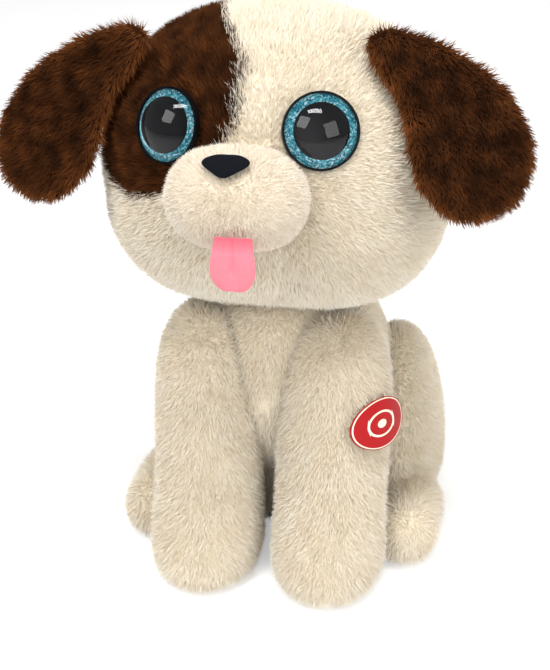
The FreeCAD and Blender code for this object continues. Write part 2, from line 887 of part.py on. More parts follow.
def make_nose():
    low = muzzle_centre.z + nose_rise - nose_half_height
    high = muzzle_centre.z + nose_rise + nose_half_height * 0.62
    middle = muzzle_centre.z + nose_rise + nose_half_height * 0.1
    points = [
        Vector(0, 0, low),
        Vector(nose_half_width, 0, middle),
        Vector(nose_half_width * 0.55, 0, high),
        Vector(-nose_half_width * 0.55, 0, high),
        Vector(-nose_half_width, 0, middle),
    ]
    prism = prism_along_y(arc_polygon(points, nose_corner), muzzle_centre.y - far / 4, muzzle_centre.y - 3)
    return prism.common(muzzle_ball(nose_felt)).cut(muzzle_ball(tiny))


def tongue_hinge():
    """Hinge line of the tongue, just clear of the muzzle's underside."""
    angle = math.radians(tongue_low_angle)
    out = Vector(0, -math.cos(angle), -math.sin(angle))
    return muzzle_centre + out * (muzzle_radius + tongue_felt / 2 + seam_gap)


def make_tongue():
    """A felt strip with a round tip and a stitched groove down its middle."""
    half = tongue_width / 2
    root_half = half * 0.8
    root = rod(tongue_felt / 2, Vector(-root_half, 0, 0), 2 * root_half, along_x)
    sides = [
        Vector(half, 0, half - tongue_length),
        Vector(half, 0, -tongue_length * 0.4),
        Vector(root_half, 0, 0),
        Vector(-root_half, 0, 0),
        Vector(-half, 0, -tongue_length * 0.4),
        Vector(-half, 0, half - tongue_length),
    ]
    edges = [Part.LineSegment(start, end).toShape() for start, end in zip(sides, sides[1:])]
    edges.append(Part.Arc(sides[-1], Vector(0, 0, -tongue_length), sides[0]).toShape())
    strip = Part.Face(Part.Wire(edges))
    strip.translate(Vector(0, -tongue_felt / 2, 0))
    strip = strip.extrude(Vector(0, tongue_felt, 0))
    stitch = box(
        (-tongue_stitch_half, -tongue_felt / 2 - 1, -tongue_length * 0.72),
        (tongue_stitch_half, -tongue_felt / 2 + tongue_stitch_depth, -2.0),
    )
    tongue = root.fuse(strip).cut(stitch)
    lean = Rotation(along_x, -tongue_forward)
    return placed(tongue, Placement(tongue_hinge(), lean))


def ear_axes():
    """Down along the seam, and outward across the flap; the seam lies along the head's surface."""
    out = (ear_root - Vector(head_reach, 0, 0)).normalize()
    slant = math.radians(ear_root_slant)
    down = Vector(math.cos(slant), 0, -math.sin(slant))
    down.y = -(down.x * out.x + down.z * out.z) / out.y
    down = down.normalize()
    flush = out.cross(down)
    sweep = math.radians(ear_sweep)
    return out, down, flush * math.cos(sweep) + out * math.sin(sweep)


def ear_frame(side):
    """Origin in the seam's middle, +X outward across the flap, +Z up along the seam."""
    out, down, across = ear_axes()
    middle = Vector(head_reach, 0, 0) + out * (head_radius + ear_thickness / 2 + ear_hang_gap)
    if side < 0:
        middle.x = -middle.x
        down.x = -down.x
        across = Vector(across.x, -across.y, -across.z)
    return Placement(middle, Rotation(across, Vector(), down * -1, "ZXY"))


def make_ear(side):
    """A padded flap: narrow at the seam, wide and round at the hanging end."""
    half_seam = ear_root_length / 2
    thick = ear_thickness / 2
    outline = [Vector(x, 0, z) for x, z in ear_outline]
    rim = Part.BSplineCurve()
    rim.interpolate(Points=outline, PeriodicFlag=True)
    flap = Part.Face(Part.Wire([rim.toShape()]))
    flap.translate(Vector(0, -thick, 0))
    flap = flap.extrude(Vector(0, ear_thickness, 0))
    rims = [edge for edge in flap.Edges if edge.Length > 3 * ear_root_length]
    flap = flap.makeFillet(thick * 0.7, rims)
    seam = rod(thick, Vector(0, 0, -half_seam), ear_root_length, along_z)
    ear = flap.fuse(seam)
    if side < 0:
        ear = mirrored(ear)
    return placed(ear, ear_frame(side))


def make_eye(side):
    """Cup with stem, glitter disc, pupil, clear dome and the washer that locks the stem."""
    cup = rod(eye_radius, Vector(0, 0, -eye_cup_thickness), eye_cup_thickness, along_z)
    rim = rod(eye_radius, Vector(), eye_rim_height, along_z)
    rim = rim.cut(rod(eye_radius - eye_rim, Vector(), eye_rim_height, along_z))
    stem_length = eye_stem_length - eye_cup_thickness
    stem = rod(eye_stem_radius, Vector(0, 0, -eye_stem_length), stem_length, along_z)
    cup = cup.fuse([rim, stem])
    disc_radius = eye_radius - eye_rim - seat_gap
    pupil = rod(pupil_radius, Vector(), iris_thickness, along_z)
    iris = rod(disc_radius, Vector(), iris_thickness, along_z).cut(pupil)
    bulge = (disc_radius ** 2 + dome_height ** 2) / (2 * dome_height)
    dome = Part.makeSphere(bulge, Vector(0, 0, iris_thickness + dome_height - bulge))
    dome = dome.common(rod(disc_radius, Vector(0, 0, iris_thickness), far / 10, along_z))
    washer = rod(eye_washer_radius, Vector(0, 0, washer_bottom), eye_washer_thickness, along_z)
    washer = washer.cut(rod(eye_stem_radius, Vector(0, 0, washer_bottom - 1), far / 10, along_z))
    names = ("eye_cup", "eye_iris", "eye_pupil", "eye_dome", "eye_washer")
    frame = eye_frame(side)
    return [(name, placed(shape, frame)) for name, shape in zip(names, (cup, iris, pupil, dome, washer))]


# ---------------------------------------------------------------- press button
def press_frame():
    """Origin on the leg's surface under the sticker, +Z out of the leg."""
    below = [section for section in front_leg_sections if section[0] < press_height][-1]
    above = [section for section in front_leg_sections if section[0] >= press_height][0]
    share = (press_height - below[0]) / (above[0] - below[0])
    middle_y = below[1] + share * (above[1] - below[1])
    half_x = below[2] + share * (above[2] - below[2])
    half_y = below[3] + share * (above[3] - below[3])
    turn = math.radians(press_turn)
    lift = math.radians(press_lift)
    out = Vector(math.sin(turn) * math.cos(lift), -math.cos(turn) * math.cos(lift), math.sin(lift))
    side = front_leg_side + half_x * math.sin(turn)
    place = Vector(side, middle_y - half_y * math.cos(turn), press_height)
    return Placement(place, Rotation(along_z, out))


def press_tool(radius, low, high):
    return placed(rod(radius, Vector(0, 0, low), high - low, along_z), press_frame())


pad_bottom = -cover_wall - 1.2
plunger_bottom = pad_bottom - plunger_thickness
switch_top = plunger_bottom - press_travel - seam_gap
switch_bottom = switch_top - switch_height


def press_block(grow):
    half = switch_half_size + grow
    block = box((-half, -half, switch_bottom - grow), (half, half, switch_top + grow))
    return placed(block, press_frame())


def press_room():
    """Room in the leg's filling for the pad, the plunger and the switch."""
    return press_tool(press_radius + slip_gap, switch_top, far / 10).fuse(press_block(seam_gap))


def make_press_pad():
    return press_tool(press_radius, pad_bottom, press_stand - sticker_thickness)


def make_press_sticker():
    """An oval of glossy card that lies on the pad."""
    curve = Part.Ellipse(Vector(0, 0, 0), sticker_half_length, sticker_half_width)
    face = Part.Face(Part.Wire([curve.toShape()]))
    face.rotate(Vector(0, 0, 0), along_z, sticker_roll)
    face.translate(Vector(0, 0, press_stand - sticker_thickness))
    return placed(face.extrude(Vector(0, 0, sticker_thickness)), press_frame())


def make_press_plunger():
    disc = press_tool(plunger_radius, plunger_bottom, pad_bottom)
    stem = press_tool(plunger_stem_radius, plunger_bottom - plunger_stem_length, plunger_bottom + tiny)
    return disc.fuse(stem)


def make_press_switch():
    hole_bottom = plunger_bottom - plunger_stem_length - press_travel - seam_gap
    return press_block(0).cut(press_tool(plunger_stem_radius + seat_gap, hole_bottom, far / 10))


# ---------------------------------------------------------------- battery and sound box
box_front_y = box_middle_y - box_half_depth
box_back_y = box_middle_y + box_half_depth
bay_top_z = box_floor_z + bay_height
sound_top_z = bay_top_z + sound_height
bay_right_x = box_right_x + box_wall
bay_left_x = bay_right_x + cell_length + 2 * contact_room
bay_front_y = box_front_y + box_wall
bay_back_y = box_back_y - box_wall
bay_middle_x = (bay_right_x + bay_left_x) / 2
cell_pitch = (bay_back_y - bay_front_y) / cell_count
cell_z = bay_top_z - box_wall - cell_radius - 0.2
hinge_y = bay_back_y - hinge_pin_radius - 0.5
hinge_z = box_floor_z + door_thickness / 2
board_z = bay_top_z + board_stand - tiny
knob_x = (bay_left_x + box_left_x) / 2
knob_top_z = box_floor_z + box_wall + seam_gap


def box_room(grow):
    return box(
        (box_right_x - grow, box_front_y - grow, -1),
        (box_left_x + grow, box_back_y + grow, sound_top_z + box_screw_head + grow),
    )


def box_screw_places():
    """Screw pillars in the corners of the sound part, off the board."""
    inset = box_wall + 2.4
    places = []
    for x in (box_right_x + inset, box_left_x - inset):
        for y in (box_front_y + inset, box_back_y - inset):
            places.append(Vector(x, y, 0))
    return places


def knob_slot(grow):
    half_x = knob_width / 2 + grow
    half_y = knob_length / 2 + knob_travel + grow
    return box(
        (knob_x - half_x, box_middle_y - half_y, box_floor_z - 1),
        (knob_x + half_x, box_middle_y + half_y, box_floor_z + box_wall + 1),
    )


def make_battery_box():
    shell = box((box_right_x, box_front_y, box_floor_z), (box_left_x, box_back_y, bay_top_z))
    bay = box((bay_right_x, bay_front_y, box_floor_z - 1), (bay_left_x, bay_back_y, bay_top_z - box_wall))
    switch_room = box(
        (bay_left_x + box_wall, bay_front_y, box_floor_z + box_wall),
        (box_left_x - box_wall, bay_back_y, bay_top_z + 1),
    )
    shell = cut_each(shell, [bay, switch_room, knob_slot(seam_gap)])
    ribs = []
    for index in range(1, cell_count):
        y = bay_front_y + cell_pitch * index
        low = (bay_right_x - tiny, y - bay_rib_half, bay_top_z - box_wall - bay_rib_depth)
        ribs.append(box(low, (bay_left_x + tiny, y + bay_rib_half, bay_top_z - 1)))
    pillars = []
    for place in box_screw_places():
        low = bay_top_z - box_wall / 2
        if place.x > bay_left_x:
            low = box_floor_z + box_wall / 2
        pillars.append(rod(pillar_radius, place + Vector(0, 0, low), board_z - low, along_z))
    ends = []
    for x in (bay_right_x, bay_left_x - hinge_end_length):
        start = Vector(x - tiny, hinge_y, hinge_z)
        ends.append(rod(hinge_pin_radius, start, hinge_end_length + 2 * tiny, along_x))
    shell = shell.fuse(ribs + pillars + ends)
    low = Vector(0, 0, bay_top_z + 0.5)
    pilots = [rod(box_screw_radius, place + low, 8.0, along_z) for place in box_screw_places()]
    return cut_each(shell, pilots)


def make_battery_door():
    """Door that closes the battery bay, with ribs inside and a knuckle along its back edge."""
    gap = door_gap
    front = bay_front_y + gap
    top_z = box_floor_z + door_thickness
    right_x = bay_right_x + gap
    length = bay_left_x - bay_right_x - 2 * gap
    door = box((right_x, front, box_floor_z), (right_x + length, hinge_y, top_z))
    knuckle = rod(door_thickness / 2, Vector(right_x, hinge_y, hinge_z), length, along_x)
    ribs = []
    for index in range(1, cell_count):
        y = bay_front_y + cell_pitch * index
        low = (bay_right_x + 6, y - rib_half, hinge_z)
        ribs.append(box(low, (bay_left_x - 6, y + rib_half, top_z + 0.8)))
    door = door.fuse([knuckle] + ribs)
    cuts = []
    for x in (bay_right_x - 1, bay_left_x - hinge_end_length - gap):
        low = (x, hinge_y - hinge_pin_radius - gap, box_floor_z - 1)
        cuts.append(box(low, (x + hinge_end_length + 1 + gap, far, far)))
    for line in range(3):
        y = front + 3.0 + 2.2 * line
        low = (bay_middle_x - 7, y, box_floor_z - 1)
        cuts.append(box(low, (bay_middle_x + 7, y + 1.0, box_floor_z + 0.5)))
    seat = door_screw_place()
    below = seat - Vector(0, 0, 1 + door_screw_seat)
    cuts.append(rod(2.6, below, 1 + door_screw_seat, along_z))
    cuts.append(rod(1.2, below, far, along_z))
    return cut_each(door, cuts)


def door_screw_place():
    front = bay_front_y + door_gap
    return Vector(bay_middle_x + door_screw_side, front + door_screw_front, box_floor_z + door_screw_seat)


def make_door_screw():
    length = door_thickness - door_screw_seat + 0.4
    return screw(door_screw_place(), along_z, 1.1, length, 2.4, 0.8)


def make_batteries():
    cells = []
    nub_height = 1.0
    for index in range(cell_count):
        y = bay_front_y + cell_pitch * (index + 0.5)
        way = 1 if index % 2 == 0 else -1
        axis = Vector(way, 0, 0)
        start = Vector(bay_middle_x - way * cell_length / 2, y, cell_z)
        can = rod(cell_radius, start, cell_length - nub_height, axis)
        nub_start = start + axis * (cell_length - nub_height - tiny)
        cells.append(can.fuse(rod(1.9, nub_start, nub_height + tiny, axis)))
    return Part.makeCompound(cells)


def make_battery_contacts():
    """A plate with a raised button at each end of each cell."""
    plates = []
    half = contact_half_size
    button_height = contact_room - contact_thickness - 0.1
    for index in range(cell_count):
        y = bay_front_y + cell_pitch * (index + 0.5)
        for x, way in ((bay_right_x, 1), (bay_left_x, -1)):
            low_x = min(x, x + way * contact_thickness)
            low = (low_x, y - half, cell_z - half)
            plate = box(low, (low_x + contact_thickness, y + half, cell_z + half))
            start = Vector(x + way * (contact_thickness - tiny), y, cell_z)
            button = Part.makeCone(3.4, 2.2, button_height, start, Vector(way, 0, 0))
            plates.append(plate.fuse(button))
    return Part.makeCompound(plates)


def make_circuit_board():
    board = box(
        (box_right_x + board_margin, box_front_y + board_margin, board_z),
        (box_left_x - board_margin, box_back_y - board_margin, board_z + board_thickness),
    )
    holes = [rod(box_screw_radius + 0.2, place, far, along_z) for place in box_screw_places()]
    return cut_each(board, holes)


def make_board_parts():
    top = board_z + board_thickness
    middle_x = box_right_x + 18.0
    chip = box((middle_x - 5, box_front_y + 8, top), (middle_x + 5, box_front_y + 15, top + 1.4))
    capacitors = []
    for step in range(3):
        place = Vector(middle_x - 6 + 6 * step, box_back_y - 9, top)
        capacitors.append(rod(2.0, place, 5.0, along_z))
    blob = Part.makeSphere(4.0, Vector(middle_x, box_middle_y + 1, top - 2.4))
    blob = blob.common(box((-far, -far, top), (far, far, far)))
    return Part.makeCompound([chip, blob] + capacitors)


speaker_x = box_left_x - box_wall - speaker_radius - 1.5
speaker_top = sound_top_z - box_wall


def make_sound_cover():
    shell = box((box_right_x, box_front_y, bay_top_z), (box_left_x, box_back_y, sound_top_z))
    upright = [edge for edge in shell.Edges if abs(edge.tangentAt(edge.FirstParameter).z) > 0.9]
    room = box(
        (box_right_x + box_wall, box_front_y + box_wall, bay_top_z - 1),
        (box_left_x - box_wall, box_back_y - box_wall, speaker_top),
    )
    shell = shell.makeFillet(2.0, upright).cut(room)
    pillars = []
    cuts = []
    for place in box_screw_places():
        low = board_z + board_thickness
        start = place + Vector(0, 0, low)
        pillars.append(rod(pillar_radius, start, speaker_top - low + tiny, along_z))
        cuts.append(rod(box_screw_radius + seat_gap, place, far, along_z))
    shell = cut_each(shell.fuse(pillars), cuts)
    slots = []
    for line in range(-3, 4):
        off = line * slot_pitch
        half = math.sqrt((speaker_radius - 3) ** 2 - off ** 2)
        low = (speaker_x - half, box_middle_y + off - slot_half, speaker_top - 1)
        slots.append(box(low, (speaker_x + half, box_middle_y + off + slot_half, sound_top_z + 1)))
    return cut_each(shell, slots)


def make_box_screws():
    shapes = []
    for place in box_screw_places():
        start = place + Vector(0, 0, sound_top_z)
        length = sound_top_z - bay_top_z - 1.0
        shapes.append(screw(start, Vector(0, 0, -1), box_screw_radius, length, 2.2, box_screw_head))
    return Part.makeCompound(shapes)


def make_speaker():
    """Frame, paper cone and magnet, facing the slots."""
    down = Vector(0, 0, -1)
    top = Vector(speaker_x, box_middle_y, speaker_top)
    rim = rod(speaker_radius, top, speaker_rim, down)
    basket_top = top + down * speaker_rim
    basket_depth = speaker_depth - speaker_rim
    basket = Part.makeCone(speaker_radius - 1, magnet_radius + 1, basket_depth, basket_top, down)
    inside = Part.makeCone(speaker_radius - 2, magnet_radius, basket_depth - 1, basket_top, down)
    opening = rod(speaker_radius - 2, top + along_z, speaker_rim + 1 + tiny, down)
    frame = cut_each(rim.fuse(basket), [inside, opening])
    cone_top = basket_top + down * 0.1
    cone = Part.makeCone(speaker_radius - 2.6, 3.0, 3.0, cone_top, down)
    hollow = Part.makeCone(speaker_radius - 3.2, 2.4, 3.0, cone_top + Vector(0, 0, 0.4), down)
    magnet = rod(magnet_radius, top + down * speaker_depth, magnet_height, down)
    return frame, cone.cut(hollow), magnet


def make_power_knob():
    half_x = knob_width / 2
    half_y = knob_length / 2
    grip = box(
        (knob_x - half_x, box_middle_y - half_y, box_floor_z),
        (knob_x + half_x, box_middle_y + half_y, knob_top_z + tiny),
    )
    base = box(
        (knob_x - half_x - 1, box_middle_y - half_y - 1, knob_top_z),
        (knob_x + half_x + 1, box_middle_y + half_y + 1, knob_top_z + knob_base),
    )
    ridges = []
    for line in (-1, 0, 1):
        y = box_middle_y + 1.8 * line
        low = (knob_x - half_x - 1, y - 0.3, box_floor_z - 1)
        ridges.append(box(low, (knob_x + half_x + 1, y + 0.3, box_floor_z + 0.4)))
    return cut_each(grip.fuse(base), ridges)


def make_power_switch():
    """Switch body over the knob, a can with its three pins up to the board."""
    low = knob_top_z + knob_base + seam_gap
    top = low + 4.0
    body = box((knob_x - 2.8, box_middle_y - 6.5, low), (knob_x + 2.8, box_middle_y + 6.5, top))
    pins = []
    for line in (-1, 0, 1):
        start = Vector(knob_x, box_middle_y + 3 * line, top - tiny)
        pins.append(rod(0.4, start, board_z - top, along_z))
    return body.fuse(pins)


# ---------------------------------------------------------------- leads inside
def motor_lead_path():
    """From the sound box up through the neck to the motor's end cap."""
    turned = head_frame.multVec(Vector(motor_x - 4.4, motor_axis_y, axis_z - 6.0))
    low = Vector(box_right_x + 9, box_back_y - 8, sound_top_z)
    points = [
        low,
        low + Vector(0, 0, 24),
        Vector(-20, 22, 92),
        Vector(-20, 8, 126),
        Vector(-34, 2, 158),
        turned + Vector(-9, -1, -10),
        turned,
    ]
    return tube_path(points)


def switch_lead_path():
    """From the sound box through the shoulder to the press switch."""
    frame = press_frame()
    end = frame.multVec(Vector(0, 0, switch_bottom - tiny))
    inward = frame.multVec(Vector(0, 0, switch_bottom - 9.0))
    low = Vector(box_left_x - 9, box_front_y + 6, sound_top_z)
    points = [low, low + Vector(0, 0, 14), Vector(26, -14, 64), inward, end]
    return tube_path(points)


motor_lead = tube(motor_lead_path(), lead_radius)
switch_lead = tube(switch_lead_path(), lead_radius)
lead_room = [
    tube(motor_lead_path(), lead_radius + lead_channel),
    tube(switch_lead_path(), lead_radius + lead_channel),
]


# ---------------------------------------------------------------- assembly
head_skin = in_head(head_form(seam_gap))
torso_skin = torso_form(seam_gap, -1)
front_skins = {side: front_leg_form(side, seam_gap, -1) for side in (1, -1)}


def write_plush(name, form, cutters, filling_cutters):
    """Cover as a hollow skin and the filling inside it, both cut clear of the neighbours."""
    outer = form(0, 0)
    cover = cut_each(outer.cut(form(-cover_wall, cover_wall)), cutters)
    filling = form(-cover_wall - seam_gap, cover_wall + seam_gap)
    filling = cut_each(filling, cutters + filling_cutters)
    write(name[0], cover)
    write(name[1], filling)


sides = (("left", 1), ("right", -1))

head_cover, face_patch = make_head_cover_and_patch()
write("head_cover", cut_each(in_head(head_cover), lead_room))
write("face_patch", in_head(face_patch))
write("head_stuffing", cut_each(in_head(make_head_stuffing()), lead_room))

write_plush(
    ("torso_cover", "torso_stuffing"), torso_form, [head_skin, box_room(seam_gap)] + lead_room, []
)
for word, side in sides:
    leg_cutters = [torso_skin, head_skin]
    if side > 0:
        leg_cutters.append(press_tool(press_radius + slip_gap, -cover_wall - 2, far / 10))
        leg_cutters = leg_cutters + lead_room
        leg_filling = [press_room()]
    else:
        leg_filling = []
    write_plush(
        ("front_leg_cover_" + word, "front_leg_stuffing_" + word),
        lambda grow, floor, side=side: front_leg_form(side, grow, floor),
        leg_cutters,
        leg_filling,
    )
    hind = cut_each(hind_leg_form(side, 0, 0), [torso_skin, front_skins[side]])
    write("hind_leg_" + word, hind)
    for name, shape in make_eye(side):
        write(name + "_" + word, in_head(shape))
    write("ear_" + word, in_head(make_ear(side)))
write("tail", tail_form(0).cut(torso_skin))

write("muzzle_cover", in_head(make_muzzle_cover()))
write("muzzle_former", in_head(make_muzzle_former()))
write("muzzle_slider", in_head(make_muzzle_slider()))
write("slider_screws", in_head(make_slider_screws()))
write("nose", in_head(make_nose()))
write("tongue", in_head(make_tongue()))

write("gear_case", in_head(make_gear_case()))
write("gear_case_cover", in_head(make_gear_case_cover()))
write("case_screws", in_head(make_case_screws()))
write("gear_axles", in_head(make_gear_axles()))
write("cam_gear", in_head(make_cam_gear()))
write("idler_gear", in_head(make_idler_gear()))
write("motor_pinion", in_head(make_motor_pinion()))
write("motor_can", in_head(make_motor_can()))
write("motor_end_cap", in_head(make_motor_end_cap()))

write("press_sticker", make_press_sticker())
write("press_pad", make_press_pad())
write("press_plunger", make_press_plunger())
write("press_switch", make_press_switch())

write("battery_box", make_battery_box())
write("battery_door", make_battery_door())
write("door_screw", make_door_screw())
write("batteries", make_batteries())
write("battery_contacts", make_battery_contacts())
write("circuit_board", make_circuit_board())
write("board_parts", make_board_parts())
write("sound_cover", make_sound_cover())
write("box_screws", make_box_screws())
speaker_frame, speaker_cone, speaker_magnet = make_speaker()
write("speaker_frame", speaker_frame)
write("speaker_cone", speaker_cone)
write("speaker_magnet", speaker_magnet)
write("power_knob", make_power_knob())
write("power_switch", make_power_switch())
write("motor_lead", motor_lead)
write("switch_lead", switch_lead)
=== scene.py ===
import math

import bmesh
import bpy
import numpy as np
from mathutils import Matrix, Vector, noise
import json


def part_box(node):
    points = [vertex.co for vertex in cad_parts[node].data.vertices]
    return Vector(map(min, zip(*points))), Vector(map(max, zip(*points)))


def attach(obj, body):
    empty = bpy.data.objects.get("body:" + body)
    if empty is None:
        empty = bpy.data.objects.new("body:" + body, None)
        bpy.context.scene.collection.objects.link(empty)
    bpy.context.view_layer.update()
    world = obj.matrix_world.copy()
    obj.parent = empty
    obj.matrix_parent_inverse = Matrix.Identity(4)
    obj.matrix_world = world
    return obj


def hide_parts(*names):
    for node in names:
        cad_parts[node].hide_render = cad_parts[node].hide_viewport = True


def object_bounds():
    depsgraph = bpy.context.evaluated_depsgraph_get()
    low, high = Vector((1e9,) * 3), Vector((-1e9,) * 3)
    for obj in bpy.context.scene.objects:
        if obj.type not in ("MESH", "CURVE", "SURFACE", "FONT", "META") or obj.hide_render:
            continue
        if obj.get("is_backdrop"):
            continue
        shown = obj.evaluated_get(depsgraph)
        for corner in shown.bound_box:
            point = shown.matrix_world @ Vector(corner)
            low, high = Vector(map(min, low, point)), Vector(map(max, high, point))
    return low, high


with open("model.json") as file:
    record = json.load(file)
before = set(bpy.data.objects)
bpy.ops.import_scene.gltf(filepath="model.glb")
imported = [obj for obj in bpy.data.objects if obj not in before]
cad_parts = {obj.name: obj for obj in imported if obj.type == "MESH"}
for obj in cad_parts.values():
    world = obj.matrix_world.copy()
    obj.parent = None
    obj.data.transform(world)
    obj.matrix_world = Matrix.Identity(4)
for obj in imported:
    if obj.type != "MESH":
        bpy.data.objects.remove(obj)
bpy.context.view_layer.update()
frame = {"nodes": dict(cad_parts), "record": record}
nodes = frame["nodes"]
mm = 0.001


# ---- torso --------------------------------------------------------------------------
# A pear of short cream plush, cut as a left and a right half that are sewn together
# down the chest, turned and stuffed with fibre. The legs are sewn on over it.
class Wire:
    """A socket in a material that can be reckoned with like a number."""

    def __init__(self, tree, socket=None):
        self.tree = tree
        self.socket = socket

    def node(self, kind, settings=None, inputs=None, output=0):
        made = self.tree.nodes.new("ShaderNode" + kind)
        for name, value in (settings or {}).items():
            if name == "stops":
                while len(made.color_ramp.elements) < len(value):
                    made.color_ramp.elements.new(0.5)
                for stop, (place, colour) in zip(made.color_ramp.elements, value):
                    stop.position = place
                    stop.color = (*colour, 1)
            else:
                setattr(made, name, value)
        for name, value in (inputs or {}).items():
            if isinstance(value, Wire):
                self.tree.links.new(value.socket, made.inputs[name])
            else:
                made.inputs[name].default_value = value
        return Wire(self.tree, made.outputs[output])

    def _reckon(self, operation, first, second):
        return self.node("Math", {"operation": operation}, {0: first, 1: second})

    def __add__(self, other):
        return self._reckon("ADD", self, other)

    def __radd__(self, other):
        return self._reckon("ADD", other, self)

    def __sub__(self, other):
        return self._reckon("SUBTRACT", self, other)

    def __rsub__(self, other):
        return self._reckon("SUBTRACT", other, self)

    def __mul__(self, other):
        return self._reckon("MULTIPLY", self, other)

    def __rmul__(self, other):
        return self._reckon("MULTIPLY", other, self)

    def clipped(self):
        return self.node("Clamp", None, {"Value": self})

    def rooted(self):
        return self.node("Math", {"operation": "SQRT"}, {0: self})

    def part(self, axis):
        """One of the three numbers of a place or a colour."""
        return self.node("SeparateXYZ", None, {"Vector": self}, output="XYZ".index(axis))

    def mixed(self, low, high):
        """The colour between low and high at this share."""
        return self.node(
            "Mix", {"data_type": "RGBA"}, {"Factor": self, 6: low, 7: high}, output=2
        )


def linear(red, green, blue):
    """A colour as a swatch book gives it, for a shader."""
    return tuple(((c / 255 + 0.055) / 1.055) ** 2.4 if c > 10 else c / 255 / 12.92 for c in (red, green, blue))


def finish_named(name, **constants):
    """A new material; what is the same all over the surface is set straight away."""
    material = bpy.data.materials.new(name)
    material.use_nodes = True
    tree = material.node_tree
    shader = tree.nodes["Principled BSDF"]
    for socket, value in constants.items():
        shader.inputs[socket.replace("_", " ")].default_value = value
    return material, Wire(tree), shader


def feed(shader, socket, wire):
    wire.tree.links.new(wire.socket, shader.inputs[socket])


def pile_finish(name, dark, light, sheen=0.25):
    """Fibres: dark to light across the tint, with painted shade that darkens them at the root but not at the tip."""
    material, start, shader = finish_named(name, Roughness=0.85, Sheen_Weight=sheen, Sheen_Roughness=0.45)
    shader.inputs["Specular IOR Level"].default_value = sheen * 0.8
    place = start.node("UVMap", {"uv_map": "OFBake"})
    height = place.part("Y")
    colour = place.part("X").mixed((*dark, 1), (*light, 1))
    # painted shade: the colour is multiplied darker at the fibre root and eased back to full colour at the tip
    painted_root_shade = start.node(
        "Mix", {"data_type": "RGBA", "blend_type": "MULTIPLY"}, {"Factor": 1.0, 6: colour, 7: (0.88, 0.84, 0.77, 1)}, output=2
    )
    feed(shader, "Base Color", height.mixed(painted_root_shade, colour))
    return material


def backing_finish(name, dark, light, grain=900, sheen=0.2):
    """The cloth under the pile, mottled as short tufts are."""
    material, start, shader = finish_named(name, Roughness=0.95, Sheen_Weight=sheen)
    shader.inputs["Specular IOR Level"].default_value = sheen
    place = start.node("TexCoord", output=3)
    tufts = start.node("TexNoise", None, {"Vector": place, "Scale": grain, "Detail": 3.0, "Roughness": 0.6})
    share = ((tufts - 0.3) * 2.5).clipped()
    feed(shader, "Base Color", share.mixed((*dark, 1), (*light, 1)))
    bump = start.node("Bump", None, {"Strength": 0.6, "Distance": 0.0006, "Height": tufts})
    feed(shader, "Normal", bump)
    return material


def new_piece(name, form, materials):
    mesh = bpy.data.meshes.new(name)
    form.to_mesh(mesh)
    form.free()
    piece = bpy.data.objects.new(name, mesh)
    bpy.context.scene.collection.objects.link(piece)
    for material in materials:
        mesh.materials.append(material)
    mesh.shade_smooth()
    return piece


def settle(piece):
    """Makes the shape that the modifiers give the piece's own mesh."""
    graph = bpy.context.evaluated_depsgraph_get()
    made = bpy.data.meshes.new_from_object(piece.evaluated_get(graph), depsgraph=graph)
    old = piece.data
    piece.modifiers.clear()
    piece.data = made
    made.name = piece.name
    if not made.materials:
        for material in old.materials:
            made.materials.append(material)
    made.shade_smooth()
    return piece


def evened(piece, pitch, smoothing):
    """Even faces of the given pitch all over, softened a little."""
    remesh = piece.modifiers.new("even", "REMESH")
    remesh.mode = "VOXEL"
    remesh.voxel_size = pitch
    soft = piece.modifiers.new("soft", "SMOOTH")
    soft.factor = 0.5
    soft.iterations = smoothing
    return settle(piece)


def points_of(piece):
    places = np.zeros(len(piece.data.vertices) * 3)
    piece.data.vertices.foreach_get("co", places)
    return places.reshape(-1, 3)


def move_points(piece, places):
    piece.data.vertices.foreach_set("co", np.ascontiguousarray(places).ravel())
    piece.data.update()


def stuffed(piece, pressure, reach, stitched):
    """Blows the cover up with its filling; stitched gives 1 where a seam holds the cloth back."""
    rest = points_of(piece)
    group = piece.vertex_groups.new(name="stitches")
    for index, held in enumerate(stitched(rest)):
        if held > 0:
            group.add([index], float(held), "REPLACE")
    cloth = piece.modifiers.new("filling", "CLOTH")
    cloth.settings.quality = 4
    cloth.settings.use_pressure = True
    cloth.settings.uniform_pressure_force = pressure
    cloth.settings.effector_weights.gravity = 0
    cloth.settings.vertex_group_mass = "stitches"
    cloth.point_cache.frame_start = 1
    cloth.point_cache.frame_end = 20
    scene = bpy.context.scene
    for step in range(1, 21):
        scene.frame_set(step)
    graph = bpy.context.evaluated_depsgraph_get()
    blown = piece.evaluated_get(graph).data
    places = np.zeros(len(rest) * 3)
    blown.vertices.foreach_get("co", places)
    shift = places.reshape(-1, 3) - rest
    far = np.linalg.norm(shift, axis=1, keepdims=True)
    shift *= np.minimum(1, reach / np.maximum(far, 1e-9))
    piece.modifiers.clear()
    piece.vertex_groups.clear()
    scene.frame_set(1)
    move_points(piece, rest + shift)
    return piece


def blade(material):
    """One tuft of pile: a thin point, its root at the bottom."""
    form = bmesh.new()
    bmesh.ops.create_circle(form, cap_ends=True, segments=3, radius=1)
    layer = form.loops.layers.uv.new("OFBake")
    corners = sorted(form.verts, key=lambda vert: vert.co.y)
    for vert, place in zip(corners, ((-0.5, 0, 0), (0.5, 0, 0), (0, 0.25, 1))):
        vert.co = place
        for loop in vert.link_loops:
            loop[layer].uv = (0, place[2])
    return new_piece("tuft", form, [material])


def marked(piece, name, values):
    """Keeps one number or one direction for each point of the piece."""
    kind = "FLOAT" if values.ndim == 1 else "FLOAT_VECTOR"
    layer = piece.data.attributes.new(name, kind, "POINT")
    layer.data.foreach_set("value" if kind == "FLOAT" else "vector", values.astype(np.float32).ravel())


